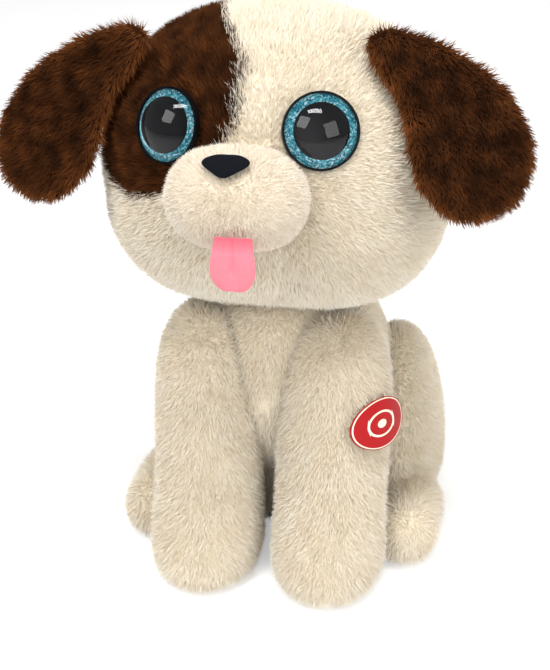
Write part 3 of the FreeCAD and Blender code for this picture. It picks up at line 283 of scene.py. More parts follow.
def grow_pile(name, skin, material, density, length, width, spread, seed):
    """Plants the pile on a skin. The skin's own marks say how thickly it stands, how it is
    brushed and how light it is."""
    tuft = blade(material)
    tuft.data.transform(Matrix.Diagonal((width, length, length, 1)))
    tree = bpy.data.node_groups.new(name, "GeometryNodeTree")
    tree.interface.new_socket(name="Geometry", in_out="INPUT", socket_type="NodeSocketGeometry")
    tree.interface.new_socket(name="Geometry", in_out="OUTPUT", socket_type="NodeSocketGeometry")

    def add(kind, settings=None, inputs=None):
        made = tree.nodes.new(kind)
        for key, value in (settings or {}).items():
            setattr(made, key, value)
        for key, value in (inputs or {}).items():
            if isinstance(value, bpy.types.NodeSocket):
                tree.links.new(value, made.inputs[key])
            else:
                made.inputs[key].default_value = value
        return made

    def mark(key, kind):
        found = add("GeometryNodeInputNamedAttribute", {"data_type": kind}, {"Name": key})
        return found.outputs["Attribute"]

    start = add("NodeGroupInput")
    thick = add("ShaderNodeMath", {"operation": "MULTIPLY"}, {0: mark("thick", "FLOAT"), 1: density * 1e6})
    planted = add(
        "GeometryNodeDistributePointsOnFaces",
        {"distribute_method": "RANDOM"},
        {"Mesh": start.outputs[0], "Density": thick.outputs[0], "Seed": seed},
    )
    stray = add(
        "FunctionNodeRandomValue",
        {"data_type": "FLOAT_VECTOR"},
        {0: (-spread,) * 3, 1: (spread,) * 3, "Seed": seed + 1},
    )
    brushed = add(
        "ShaderNodeVectorMath", {"operation": "ADD"}, {0: planted.outputs["Normal"], 1: mark("lay", "FLOAT_VECTOR")}
    )
    way = add("ShaderNodeVectorMath", {"operation": "ADD"}, {0: brushed.outputs[0], 1: stray.outputs[0]})
    spin = add(
        "FunctionNodeRandomValue",
        {"data_type": "FLOAT_VECTOR"},
        {0: (-1.0, -1.0, -1.0), 1: (1.0, 1.0, 1.0), "Seed": seed + 2},
    )
    turned = add("FunctionNodeAlignRotationToVector", {"axis": "X"}, {"Vector": spin.outputs[0]})
    aimed = add(
        "FunctionNodeAlignRotationToVector", {"axis": "Z"}, {"Rotation": turned.outputs[0], "Vector": way.outputs[0]}
    )
    size = add("FunctionNodeRandomValue", {"data_type": "FLOAT"}, {2: 0.65, 3: 1.15, "Seed": seed + 3})
    source = add("GeometryNodeObjectInfo", None, {"Object": tuft})
    sown = add(
        "GeometryNodeInstanceOnPoints",
        None,
        {
            "Points": planted.outputs["Points"],
            "Instance": source.outputs["Geometry"],
            "Rotation": aimed.outputs[0],
            "Scale": size.outputs[1],
        },
    )
    real = add("GeometryNodeRealizeInstances", None, {"Geometry": sown.outputs[0]})
    end = add("NodeGroupOutput")
    tree.links.new(real.outputs[0], end.inputs[0])

    pile = bpy.data.objects.new(name, skin.data.copy())
    bpy.context.scene.collection.objects.link(pile)
    modifier = pile.modifiers.new("pile", "NODES")
    modifier.node_group = tree
    graph = bpy.context.evaluated_depsgraph_get()
    made = bpy.data.meshes.new_from_object(pile.evaluated_get(graph), depsgraph=graph)
    pile.modifiers.clear()
    pile.data = made
    made.name = name
    made.materials.clear()
    made.materials.append(material)
    tint = np.zeros(len(made.vertices))
    made.attributes["tint"].data.foreach_get("value", tint)
    corner = np.zeros(len(made.loops), int)
    made.loops.foreach_get("vertex_index", corner)
    layer = made.uv_layers["OFBake"]
    place = np.zeros(len(corner) * 2)
    layer.uv.foreach_get("vector", place)
    place = place.reshape(-1, 2)
    place[:, 0] = np.clip(tint[corner], 0.01, 0.99)
    place[:, 1] = np.clip(place[:, 1], 0.01, 0.99)
    layer.uv.foreach_set("vector", place.ravel())
    for kept in [a.name for a in made.attributes if a.name in ("thick", "lay", "tint")]:
        made.attributes.remove(made.attributes[kept])
    made.shade_smooth()
    bpy.data.objects.remove(tuft)
    bpy.data.node_groups.remove(tree)
    off_ground(pile, 0.2)
    return pile


def clumps(places, size, seed):
    """A slow change from place to place, from 0 to 1, as brushed pile has."""
    shift = Vector((seed * 7.3, seed * 3.1, seed * 5.7))
    return np.array([noise.noise(Vector(p) / size + shift) * 0.5 + 0.5 for p in places])


def eased(sections, steps):
    """Sections between the given ones, on one smooth run."""
    rows = np.array(sections, float)
    ends = np.vstack([2 * rows[0] - rows[1], rows, 2 * rows[-1] - rows[-2]])
    made = []
    for index in range(len(rows) - 1):
        p0, p1, p2, p3 = ends[index:index + 4]
        for step in range(steps):
            t = step / steps
            made.append(0.5 * (2 * p1 + (p2 - p0) * t + (2 * p0 - 5 * p1 + 4 * p2 - p3) * t * t
                               + (3 * p1 - p0 - 3 * p2 + p3) * t ** 3))
    return made + [rows[-1]]


def stack_of(form, side_x, sections, trim):
    """A closed form through level ellipses, drawn in by trim all round."""
    last = None
    for height, middle, half_x, half_y in eased(sections, 4):
        ring = bmesh.ops.create_circle(form, segments=40, radius=1)["verts"]
        low = Matrix.Translation((side_x * mm, middle * mm, height * mm))
        wide = Matrix.Diagonal(((half_x - trim) * mm, (half_y - trim) * mm, 1, 1))
        bmesh.ops.transform(form, matrix=low @ wide, verts=ring)
        edges = list({edge for vert in ring for edge in vert.link_edges})
        if last is None:
            bmesh.ops.contextual_create(form, geom=edges)
        else:
            bmesh.ops.bridge_loops(form, edges=last + edges)
        last = edges
    bmesh.ops.contextual_create(form, geom=last)
    bmesh.ops.recalc_face_normals(form, faces=form.faces)


def off_ground(piece, floor=0.4):
    places = points_of(piece)
    places[:, 2] = np.maximum(places[:, 2], floor * mm)
    move_points(piece, places)


def normals_of(piece):
    found = np.zeros(len(piece.data.vertices) * 3)
    piece.data.vertices.foreach_get("normal", found)
    return found.reshape(-1, 3)


def brushed(piece, way, strength, tufting=0.45):
    """The direction in which the pile lies along the skin, with small tufts that lie astray."""
    normal = normals_of(piece)
    way = np.broadcast_to(np.array(way, float), normal.shape) * strength
    for size, share in ((5 * mm, 1.0), (13 * mm, 0.8)):
        stray = np.array([noise.noise_vector(Vector(p) / size) for p in points_of(piece)])
        way = way + stray * tufting * share
    return way - normal * np.sum(way * normal, axis=1, keepdims=True)


cream_dark = linear(241, 229, 207)
cream_light = linear(254, 250, 241)
cream_backing = backing_finish("cream_backing", linear(226, 212, 186), linear(246, 238, 220))
cream_pile = pile_finish("cream_pile", cream_dark, cream_light)

torso_sections = [
    (0, 14, 52, 45),
    (14, 13, 62, 55),
    (45, 11, 63, 56),
    (80, 5, 56, 49),
    (112, -4, 47, 42),
    (140, -10, 40, 36),
]
trim = 1.6
form = bmesh.new()
stack_of(form, 0, torso_sections, trim)
chest = bmesh.ops.create_icosphere(form, subdivisions=4, radius=1)["verts"]
bmesh.ops.transform(form, matrix=Matrix.Diagonal((34 * mm, 27 * mm, 50 * mm, 1)), verts=chest)
bmesh.ops.translate(form, verts=chest, vec=Vector((0, -33, 92)) * mm)
torso = evened(new_piece("torso_skin", form, [cream_backing]), 4 * mm, 3)
stuffed(torso, 4, 2.0 * mm, lambda p: np.where(abs(p[:, 0]) < 2.5 * mm, 1.0, 0.0))
off_ground(torso)

low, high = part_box("battery_box")
places = points_of(torso)
under = places[:, 2] < 8 * mm
near = under.copy()
in_bay = under.copy()
for axis in (0, 1):
    place = places[:, axis]
    near &= (place > low[axis] - 4.5 * mm) & (place < high[axis] + 4.5 * mm)
    in_bay &= (place > low[axis] - 0.5 * mm) & (place < high[axis] + 0.5 * mm)
for axis in (0, 1):
    places[near, axis] = np.clip(places[near, axis], low[axis] - 0.6 * mm, high[axis] + 0.6 * mm)
places[in_bay, 2] = high[2] + 1 * mm
move_points(torso, places)
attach(torso, "puppy")
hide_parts("torso_cover")


def cream_marks(piece, seed, way=(0, 0, -1), strength=0.9):
    places = points_of(piece)
    marked(piece, "lay", brushed(piece, way, strength))
    marked(piece, "tint", 0.25 + 0.6 * clumps(places, 9 * mm, seed))
    marked(piece, "thick", np.where(places[:, 2] < 4 * mm, 0.0, 1.0))


cream_marks(torso, 1)
seam = (abs(places[:, 0]) < 1.7 * mm) & (places[:, 1] < 0)
kept = torso.data.attributes["thick"].data
for index in np.flatnonzero(seam | in_bay):
    kept[index].value = 0.0
torso_pile = grow_pile("torso_pile", torso, cream_pile, 2.2, 3.9 * mm, 0.5 * mm, 0.35, 11)
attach(torso_pile, "puppy")


# ---- front legs ---------------------------------------------------------------------
# Two stout legs that run forward from the shoulders to round paws. Each is a stuffed
# tube of the same plush with a seam down its outer side.
front_leg_sections = [
    (0, -70, 22, 25),
    (10, -70, 27.5, 33),
    (26, -66, 28, 31),
    (48, -58, 27, 27),
    (82, -47, 28, 28),
    (108, -40, 26, 28),
    (122, -37, 21, 22),
    (130, -34, 12, 13),
]
for word, side in (("left", 1), ("right", -1)):
    form = bmesh.new()
    stack_of(form, side * 31, front_leg_sections, trim)
    leg = evened(new_piece("front_leg_skin_" + word, form, [cream_backing]), 4 * mm, 3)
    stuffed(leg, 4, 2.0 * mm, lambda p: np.where((abs(p[:, 0] - side * 31 * mm) < 2.5 * mm) & (p[:, 1] > -40 * mm), 1.0, 0.0))
    off_ground(leg)
    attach(leg, "puppy")
    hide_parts("front_leg_cover_" + word)
    cream_marks(leg, 2 + side)
    leg_pile = grow_pile("front_leg_pile_" + word, leg, cream_pile, 2.6, 3.9 * mm, 0.5 * mm, 0.35, 21 + side)
    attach(leg_pile, "puppy")


# ---- hind legs ----------------------------------------------------------------------
# A rounded thigh each side of the torso with a long paw that points forward.
thigh_sections = [
    (0, 14, 18, 34),
    (18, 14, 25, 43),
    (52, 14, 24, 42),
    (82, 14, 17, 29),
    (96, 14, 7, 12),
]
for word, side in (("left", 1), ("right", -1)):
    form = bmesh.new()
    stack_of(form, side * 53, thigh_sections, trim)
    paw = bmesh.ops.create_icosphere(form, subdivisions=4, radius=1)["verts"]
    radius = 17 - trim
    for vert in paw:
        reach = 30 - 17
        vert.co = Vector((vert.co.x * radius, vert.co.y * radius + math.copysign(reach, vert.co.y), vert.co.z * radius)) * mm
    bmesh.ops.translate(form, verts=paw, vec=Vector((side * 66, -34, 14)) * mm)
    leg = evened(new_piece("hind_leg_skin_" + word, form, [cream_backing]), 4 * mm, 4)
    stuffed(leg, 4, 2.0 * mm, lambda p: np.where(p[:, 2] < 3 * mm, 1.0, 0.0))
    off_ground(leg)
    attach(leg, "puppy")
    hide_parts("hind_leg_" + word)
    cream_marks(leg, 5 + side)
    leg_pile = grow_pile("hind_leg_pile_" + word, leg, cream_pile, 2.3, 3.9 * mm, 0.5 * mm, 0.35, 31 + side)
    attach(leg_pile, "puppy")


# ---- tail ---------------------------------------------------------------------------
# A short stuffed tail behind, sewn on at the seat.
form = bmesh.new()
verts = bmesh.ops.create_icosphere(form, subdivisions=4, radius=1)["verts"]
for vert in verts:
    share = vert.co.z * 0.5 + 0.5
    radius = 11 + (8 - 11) * share - trim
    along = -8 + share * 51 + vert.co.z * 2
    vert.co = Vector((vert.co.x * radius, vert.co.y * radius, along)) * mm
turn = Matrix.Translation(Vector((0, 62, 22)) * mm) @ Matrix.Rotation(math.radians(24 - 90), 4, "X")
bmesh.ops.transform(form, matrix=turn, verts=verts)
tail = evened(new_piece("tail_skin", form, [cream_backing]), 3 * mm, 2)
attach(tail, "puppy")
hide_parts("tail")
cream_marks(tail, 9, (0, 1, 0.4), 0.9)
tail_pile = grow_pile("tail_pile", tail, cream_pile, 2.3, 4.2 * mm, 0.5 * mm, 0.35, 41)
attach(tail_pile, "puppy")


# ---- head ---------------------------------------------------------------------------
# A wide ball of the same plush, tilted up a little. A brown patch is sewn in round the
# right eye, and the pile is brushed back from the muzzle.
head_set = Matrix.Translation(Vector((0, -12, 200)) * mm) @ Matrix.Rotation(math.radians(-10), 4, "X")
head_back = head_set.inverted()
patch_outline = [(-4, 22), (-3, 44), (-10, 58), (-23, 68), (-48, 66), (-76, 40), (-82, 12), (-66, -6),
                 (-53, -10), (-38, -7), (-18, 4)]


def in_outline(places, outline):
    """How far each place is inside a closed outline, in millimetres; outside is below 0."""
    edge = np.array(outline, float)
    ends = np.roll(edge, -1, axis=0)
    gap = np.full(len(places), 1e9)
    inside = np.zeros(len(places), bool)
    for (ax, az), (bx, bz) in zip(edge, ends):
        run = np.array([bx - ax, bz - az])
        t = np.clip(((places - (ax, az)) @ run) / (run @ run), 0, 1)
        near = np.array([ax, az]) + t[:, None] * run
        gap = np.minimum(gap, np.linalg.norm(places - near, axis=1))
        crosses = (az > places[:, 1]) != (bz > places[:, 1])
        at_x = ax + (places[:, 1] - az) * (bx - ax) / ((bz - az) or 1e-9)
        inside ^= crosses & (places[:, 0] < at_x)
    return np.where(inside, gap, -gap)


def from_head(places):
    flat = np.c_[places, np.ones(len(places))] @ np.array(head_back).T
    return flat[:, :3] / mm


eye_side, eye_height, eye_radius = 33.0, 23.0, 16.3
eye_depth = math.sqrt(70.5 ** 2 - (eye_side - 11.5) ** 2 - eye_height ** 2)


def eye_set(side):
    """Middle of the eye's seat on the head, its +Z out of the eye."""
    turn, lift = math.radians(22), math.radians(12)
    out = Vector((side * math.sin(turn) * math.cos(lift), -math.cos(turn) * math.cos(lift), math.sin(lift)))
    seat = Vector((side * eye_side, -eye_depth, eye_height)) * mm
    return head_set @ Matrix.Translation(seat) @ out.to_track_quat("Z", "Y").to_matrix().to_4x4()


form = bmesh.new()
for vert in bmesh.ops.create_icosphere(form, subdivisions=6, radius=70.5 - trim)["verts"]:
    reach = 11.5 * math.tanh(vert.co.x / 12)
    low = min(max(-vert.co.z / 25, 0), 1) * min(max(1.3 - vert.co.y / 40, 0), 1)
    level = math.hypot(vert.co.x, vert.co.z)
    if level > 1:
        square = (abs(vert.co.x / level) ** 2.7 + abs(vert.co.z / level) ** 2.7) ** (-1 / 2.7)
        vert.co.x *= 1 + low * (square - 1)
        vert.co.z *= 1 + low * (square - 1)
    vert.co = head_set @ (Vector((vert.co.x + reach, vert.co.y, vert.co.z)) * mm)
head = new_piece("head_skin", form, [cream_backing])
brown_backing = backing_finish("brown_backing", linear(26, 13, 6), linear(58, 33, 17), sheen=0.0)
head.data.materials.append(brown_backing)
local = from_head(points_of(head))
on_patch = np.where(local[:, 1] < 5, in_outline(local[:, [0, 2]], patch_outline), -50)
for face in head.data.polygons:
    face.material_index = int(np.mean(on_patch[list(face.vertices)]) > 0)
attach(head, "puppy")
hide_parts("head_cover", "face_patch")

world = points_of(head)
eye_gap = np.full(len(world), 1e9)
for side in (1, -1):
    flat = np.c_[world, np.ones(len(world))] @ np.array(eye_set(side).inverted()).T
    eye_gap = np.minimum(eye_gap, np.where(flat[:, 2] > -20 * mm, np.hypot(flat[:, 0], flat[:, 1]) / mm, 1e9))
bare = (eye_gap < eye_radius - 1.4) | (np.hypot(local[:, 0] / 25, (local[:, 2] + 4) / 17) < 1) & (local[:, 1] < 0)
away = local - np.array([0, -70, -4])
away = away @ np.array(head_set.to_3x3()).T
away /= np.linalg.norm(away, axis=1, keepdims=True)
marked(head, "lay", brushed(head, away, 0.8))
marked(head, "tint", 0.3 + 0.6 * clumps(world, 9 * mm, 3))
thick = np.where(bare, 0.0, 1.0)
marked(head, "thick", np.where(on_patch > 0.4, 0.0, thick))
head_pile = grow_pile("head_pile", head, cream_pile, 2.6, 3.8 * mm, 0.5 * mm, 0.32, 51)
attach(head_pile, "puppy")

brown_pile = pile_finish("brown_pile", linear(28, 13, 6), linear(138, 82, 42), sheen=0.03)
head.data.attributes.remove(head.data.attributes["thick"])
head.data.attributes.remove(head.data.attributes["tint"])
marked(head, "tint", 0.75 * clumps(world, 6 * mm, 6) ** 1.5)
marked(head, "thick", np.where(on_patch > -0.4, thick, 0.0))
patch_pile = grow_pile("patch_pile", head, brown_pile, 2.9, 3.8 * mm, 0.5 * mm, 0.32, 61)
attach(patch_pile, "puppy")


# ---- eyes ---------------------------------------------------------------------------
# A black cup with a raised rim carries a turquoise glitter ring and a black pupil under
# a clear dome. Its stem goes through the cover and a washer locks it.
glitter, start, shader = finish_named("glitter_film", Roughness=0.3, Metallic=0.35)
place = start.node("TexCoord", output=3)
grains = start.node("TexVoronoi", {"feature": "F1"}, {"Vector": place, "Scale": 1500.0}, output=1)
tone = grains.part("X")
speckle = start.node("ValToRGB", {"stops": [
    (0.0, linear(14, 70, 86)), (0.35, linear(40, 140, 160)), (0.75, linear(96, 190, 205)), (1.0, linear(220, 245, 250)),
]}, {"Fac": tone})
feed(shader, "Base Color", speckle)
glint = start.node("Bump", None, {"Strength": 0.8, "Distance": 0.0003, "Height": tone})
feed(shader, "Normal", glint)

gloss_black, start, shader = finish_named("gloss_black", Roughness=0.3)
shader.inputs["Specular IOR Level"].default_value = 0.1
place = start.node("TexCoord", output=3)
dust = start.node("TexNoise", None, {"Vector": place, "Scale": 220.0, "Detail": 2.0})
feed(shader, "Base Color", dust.mixed((0.002, 0.002, 0.003, 1), (0.006, 0.006, 0.007, 1)))

clear, start, shader = finish_named("clear_dome", Roughness=0.02, Transmission_Weight=1.0, IOR=1.38)
place = start.node("TexCoord", output=3)
haze = start.node("TexNoise", None, {"Vector": place, "Scale": 60.0, "Detail": 1.0})
feed(shader, "Base Color", haze.mixed((0.97, 0.98, 1.0, 1), (1.0, 1.0, 1.0, 1)))

for word, side in (("left", 1), ("right", -1)):
    nodes["eye_iris_" + word].data.materials.clear()
    nodes["eye_iris_" + word].data.materials.append(glitter)
    for part in ("eye_pupil_", "eye_cup_"):
        nodes[part + word].data.materials.clear()
        nodes[part + word].data.materials.append(gloss_black)
    form = bmesh.new()
    disc = eye_radius - 1.1
    bulge = (disc ** 2 + 8.0 ** 2) / (2 * 8.0)
    edge = form.verts.new((0, 0, 8.25 * mm))
    last = edge
    edges = []
    for step in range(1, 13):
        angle = math.asin(disc / bulge) * step / 12
        spot = form.verts.new((bulge * math.sin(angle) * mm, 0, (8.25 - bulge + bulge * math.cos(angle)) * mm))
        edges.append(form.edges.new((last, spot)))
        last = spot
    middle = form.verts.new((0, 0, last.co.z))
    edges.append(form.edges.new((last, middle)))
    bmesh.ops.spin(form, geom=list(form.verts) + edges, cent=(0, 0, 0), axis=(0, 0, 1), dvec=(0, 0, 0),
                   angle=2 * math.pi, steps=64, use_merge=True, use_duplicate=False)
    bmesh.ops.remove_doubles(form, verts=form.verts, dist=1e-6)
    bmesh.ops.recalc_face_normals(form, faces=form.faces)
    bmesh.ops.transform(form, matrix=eye_set(side), verts=form.verts)
    dome = new_piece("eye_lens_" + word, form, [clear])
    dome.data.set_sharp_from_angle(angle=math.radians(40))
    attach(dome, "puppy")
    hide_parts("eye_dome_" + word)


# ---- muzzle -------------------------------------------------------------------------
# A round muzzle of shorter, paler plush over a moulded former. It slides in and out of
# the head on a neck of the same cloth.
muzzle_middle = Vector((0, -75, -4))
muzzle_backing = backing_finish("muzzle_backing", linear(218, 204, 182), linear(240, 230, 212), grain=1300)
muzzle_pile = pile_finish("muzzle_pile_finish", linear(232, 220, 202), linear(252, 246, 236), sheen=0.1)
form = bmesh.new()
for vert in bmesh.ops.create_icosphere(form, subdivisions=5, radius=23 - 2.0)["verts"]:
    reach = 8.5 * math.tanh(vert.co.x / 8)
    vert.co = head_set @ ((Vector((vert.co.x + reach, vert.co.y, vert.co.z)) + muzzle_middle) * mm)
muzzle = new_piece("muzzle_skin", form, [muzzle_backing])
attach(muzzle, "muzzle")
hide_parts("muzzle_cover")
world = points_of(muzzle)
local = from_head(world) - np.array(muzzle_middle)
away = np.c_[local[:, 0], np.full(len(local), 18.0), local[:, 2] - 10] @ np.array(head_set.to_3x3()).T
away /= np.linalg.norm(away, axis=1, keepdims=True)
marked(muzzle, "lay", brushed(muzzle, away, 0.9, 0.3))
marked(muzzle, "tint", 0.3 + 0.6 * clumps(world, 6 * mm, 4))
marked(muzzle, "thick", np.where(local[:, 1] > 8, 0.0, 1.0))
muzzle_tufts = grow_pile("muzzle_pile", muzzle, muzzle_pile, 4.0, 2.2 * mm, 0.38 * mm, 0.35, 71)
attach(muzzle_tufts, "muzzle")


# ---- ears ---------------------------------------------------------------------------
# Two flat flaps of long brown plush with a little filling, sewn round the rim and hung
# from a slanting seam at the top of the head. Painted sheen lightens the pile towards the rim.
ear_outline = [
    (-4, 18), (-2, 27), (8, 27), (22, 15), (35, -3), (44, -25), (43, -46), (34, -61), (20, -69),
    (5, -67), (-6, -58), (-10, -43), (-7, -26), (-3, -10),
]
ear_out = Vector((57 - 11.5, -41, 34.5)).normalized()
ear_down = Vector((math.cos(math.radians(60)), 0, -math.sin(math.radians(60))))
ear_down.y = -(ear_down.x * ear_out.x + ear_down.z * ear_out.z) / ear_out.y
ear_down.normalize()
ear_across = ear_out.cross(ear_down) * math.cos(math.radians(40)) + ear_out * math.sin(math.radians(40))
ear_set = Matrix((ear_across, ear_across.cross(ear_down), -ear_down)).transposed().to_4x4()
ear_set.translation = (ear_out * 77 + Vector((11.5, 0, 0))) * mm
for word, side in (("left", 1), ("right", -1)):
    form = bmesh.new()
    rim = eased([(x, z, 0, 0) for x, z in ear_outline + ear_outline[:1]], 5)[:-1]
    corners = [form.verts.new((x * 0.94 * mm, -2.2 * mm, z * 0.94 * mm)) for x, z, _, _ in rim]
    face = form.faces.new(corners)
    grown = bmesh.ops.extrude_face_region(form, geom=[face])["geom"]
    bmesh.ops.translate(form, verts=[v for v in grown if isinstance(v, bmesh.types.BMVert)], vec=(0, 4.4 * mm, 0))
    bmesh.ops.triangulate(form, faces=form.faces)
    bmesh.ops.recalc_face_normals(form, faces=form.faces)
    ear = evened(new_piece("ear_skin_" + word, form, [brown_backing]), 3 * mm, 2)
    outline = [(x * 0.94, z * 0.94) for x, z, _, _ in rim]
    stuffed(ear, 3, 4.0 * mm, lambda p: np.where(in_outline(p[:, [0, 2]] / mm, outline) < 1.5, 1.0, 0.0))
    inner = in_outline(points_of(ear)[:, [0, 2]] / mm, outline)
    places = points_of(ear)
    places[:, 1] -= 4 * mm * np.clip(-places[:, 2] / 0.07, 0, 1) ** 2
    move_points(ear, places)
    mirror = Matrix.Diagonal((side, 1, 1, 1))
    hang = head_set @ mirror @ ear_set
    ear.data.transform(hang)
    if side < 0:
        ear.data.flip_normals()
    ear.data.update()
    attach(ear, "ear_" + word)
    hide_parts("ear_" + word)
    world = points_of(ear)
    marked(ear, "lay", brushed(ear, (side * 0.45, 0, -1), 1.1))
    # painted sheen: the tint is raised towards the rim of the ear
    painted_rim_sheen = np.clip(1 - inner / 6, 0, 1) * 0.5
    marked(ear, "tint", painted_rim_sheen + 0.8 * clumps(world, 6 * mm, 8 + side) ** 1.6)
    marked(ear, "thick", np.ones(len(world)))
    ear_pile = grow_pile("ear_pile_" + word, ear, brown_pile, 3.0, 4.6 * mm, 0.5 * mm, 0.4, 81 + side)
    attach(ear_pile, "ear_" + word)


# ---- nose ---------------------------------------------------------------------------
# A rounded diamond of black felt, padded and sewn on the top of the muzzle.
felt_black, start, shader = finish_named("felt_black", Roughness=0.95, Sheen_Weight=0.02)
place = start.node("TexCoord", output=3)
wool = start.node("TexNoise", None, {"Vector": place, "Scale": 1400.0, "Detail": 4.0, "Roughness": 0.7})
shader.inputs["Specular IOR Level"].default_value = 0.1
feed(shader, "Base Color", wool.mixed((*linear(3, 4, 8), 1), (*linear(22, 25, 33), 1)))
feed(shader, "Normal", start.node("Bump", None, {"Strength": 0.8, "Distance": 0.0005, "Height": wool}))
form = bmesh.new()
nose_corners = [(0, 12.5), (11.0, 18.2), (6.0, 20.6), (-6.0, 20.6), (-11.0, 18.2)]
verts = [form.verts.new((x * 1.12, -30, (z - 16) * 1.12 + 16)) for x, z in nose_corners]
face = form.faces.new(verts)
bmesh.ops.bevel(form, geom=verts, offset=3.2, segments=5, profile=0.5, affect="VERTICES", material=-1)
rim = [edge for edge in form.edges]
grown = bmesh.ops.inset_region(form, faces=form.faces, thickness=1.0, depth=0)["faces"]
inner = [f for f in form.faces if f not in grown]
deeper = bmesh.ops.inset_region(form, faces=inner, thickness=2.2, depth=0)["faces"]
ring_two = {v for f in deeper for v in f.verts}
ring_one = {v for f in grown for v in f.verts}
middle = {v for f in form.faces if f not in grown and f not in deeper for v in f.verts}
for vert in form.verts:
    x, z = vert.co.x, vert.co.z
    reach = max(abs(x) - 8.5, 0)
    depth = math.sqrt(max(23.0 ** 2 - reach ** 2 - z * z, 1))
    lift = 2.6 if vert in middle else 1.9 if vert in ring_two and vert in ring_one else 0.2
    if vert in ring_two and vert not in ring_one:
        lift = 2.6
    vert.co = (x, -depth - lift, z)
bmesh.ops.recalc_face_normals(form, faces=form.faces)
bmesh.ops.solidify(form, geom=form.faces, thickness=1.5)
for vert in form.verts:
    vert.co = head_set @ ((vert.co + muzzle_middle) * mm)
nose = new_piece("nose_felt", form, [felt_black])
modifier = nose.modifiers.new("round", "SUBSURF")
modifier.levels = modifier.render_levels = 2
settle(nose)
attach(nose, "muzzle")
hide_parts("nose")


# ---- tongue -------------------------------------------------------------------------
# A tongue of soft pink felt, doubled and stitched down the middle, sewn in under the
# muzzle so that it flaps.
felt_pink, start, shader = finish_named("felt_pink", Roughness=0.9, Sheen_Weight=0.4, Sheen_Roughness=0.5)
place = start.node("TexCoord", output=3)
wool = start.node("TexNoise", None, {"Vector": place, "Scale": 1500.0, "Detail": 4.0, "Roughness": 0.7})
down = start.node("UVMap", {"uv_map": "length"}).part("Y")
tone = wool.mixed((*linear(226, 104, 122), 1), (*linear(248, 142, 154), 1))
# painted shade: the felt is darkened towards the hinge, where it goes in under the muzzle
painted_hinge_shade = (1 - down * 3.2).clipped() * 0.75
feed(shader, "Base Color", painted_hinge_shade.mixed(tone, (*linear(196, 62, 84), 1)))
feed(shader, "Normal", start.node("Bump", None, {"Strength": 0.7, "Distance": 0.0004, "Height": wool}))
hinge_turn = math.radians(52)
hinge = muzzle_middle + Vector((0, -math.cos(hinge_turn), -math.sin(hinge_turn))) * 24.5
tongue_set = head_set @ Matrix.Translation(hinge * mm) @ Matrix.Rotation(math.radians(-6), 4, "X")
form = bmesh.new()
bmesh.ops.create_grid(form, x_segments=16, y_segments=20, size=0.5)
layer = form.loops.layers.uv.new("length")
for vert in form.verts:
    share = 0.5 - vert.co.y
    for loop in vert.link_loops:
        loop[layer].uv = (vert.co.x + 0.5, share)
for vert in form.verts:
    share = 0.5 - vert.co.y
    across = vert.co.x * 2
    end = max(0, share - 0.66) / 0.34
    half = (7.2 + 1.9 * min(1, share / 0.55)) * math.sqrt(max(1 - end ** 2, 0.0) * 0.9 + 0.1)
    groove = 1.9 * math.exp(-(across * half / 1.4) ** 2) * min(max((0.78 - share) * 8, 0), 1)
    bow = -6.4 - 1.3 * math.sin(share * math.pi) + 0.8 * share
    tip = 1.2 * end * (1 - across ** 2)
    vert.co = (across * half + 4.5, bow + groove - 1.1 * (1 - across ** 2) ** 0.5, 7.5 - share * 20.5 - tip)
bmesh.ops.recalc_face_normals(form, faces=form.faces)
bmesh.ops.solidify(form, geom=form.faces, thickness=2.0)
bmesh.ops.transform(form, matrix=tongue_set @ Matrix.Diagonal((mm, mm, mm, 1)), verts=form.verts)
tongue = new_piece("tongue_felt", form, [felt_pink])
modifier = tongue.modifiers.new("round", "SUBSURF")
modifier.levels = modifier.render_levels = 2
settle(tongue)
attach(tongue, "tongue")
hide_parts("tongue")


# ---- press button -------------------------------------------------------------------
# A glossy oval of red card with a cream line near its edge and a ring and dot for the
# finger. It lies on the pad over the switch in the left front leg.
card, start, shader = finish_named("red_card", Roughness=0.45, Coat_Weight=0.08, Coat_Roughness=0.2)
shader.inputs["Specular IOR Level"].default_value = 0.25
spot = start.node("UVMap", {"uv_map": "OFBake"})
across = spot.part("X") * 2 - 1
upward = spot.part("Y") * 2 - 1
reach = (across * across + upward * upward).rooted()
rings = reach.node("ValToRGB", {"stops": [
    (0.0, linear(250, 238, 214)), (0.16, linear(176, 5, 12)), (0.42, linear(250, 238, 214)),
    (0.50, linear(176, 5, 12)), (0.90, linear(250, 238, 214)), (0.945, linear(176, 5, 12)),
]}, {"Fac": reach})
rings.socket.node.color_ramp.interpolation = "CONSTANT"
feed(shader, "Base Color", rings)
press_turn, press_lift = math.radians(58), math.radians(14)
press_out = Vector((math.sin(press_turn) * math.cos(press_lift), -math.cos(press_turn) * math.cos(press_lift), math.sin(press_lift)))
low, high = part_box("press_sticker")
press_middle = (low + high) / 2
press_side = Vector((0, 0, 1)).cross(press_out).normalized()
press_up = press_out.cross(press_side)
tilt = math.radians(-6)
along = press_side * math.cos(tilt) + press_up * math.sin(tilt)
upright = press_out.cross(along)
press_set = Matrix((along, upright, press_out)).transposed().to_4x4()
press_set.translation = press_middle
form = bmesh.new()
spots = [form.verts.new((step / 12, 0, 0)) for step in range(13)]
rays = [form.edges.new(pair) for pair in zip(spots, spots[1:])]
bmesh.ops.spin(form, geom=spots + rays, cent=(0, 0, 0), axis=(0, 0, 1), dvec=(0, 0, 0), angle=2 * math.pi, steps=64,
               use_merge=True, use_duplicate=False)
bmesh.ops.remove_doubles(form, verts=form.verts, dist=1e-5)
bmesh.ops.recalc_face_normals(form, faces=form.faces)
layer = form.loops.layers.uv.new("OFBake")
for face in form.faces:
    for loop in face.loops:
        loop[layer].uv = (loop.vert.co.x * 0.49 + 0.5, loop.vert.co.y * 0.49 + 0.5)
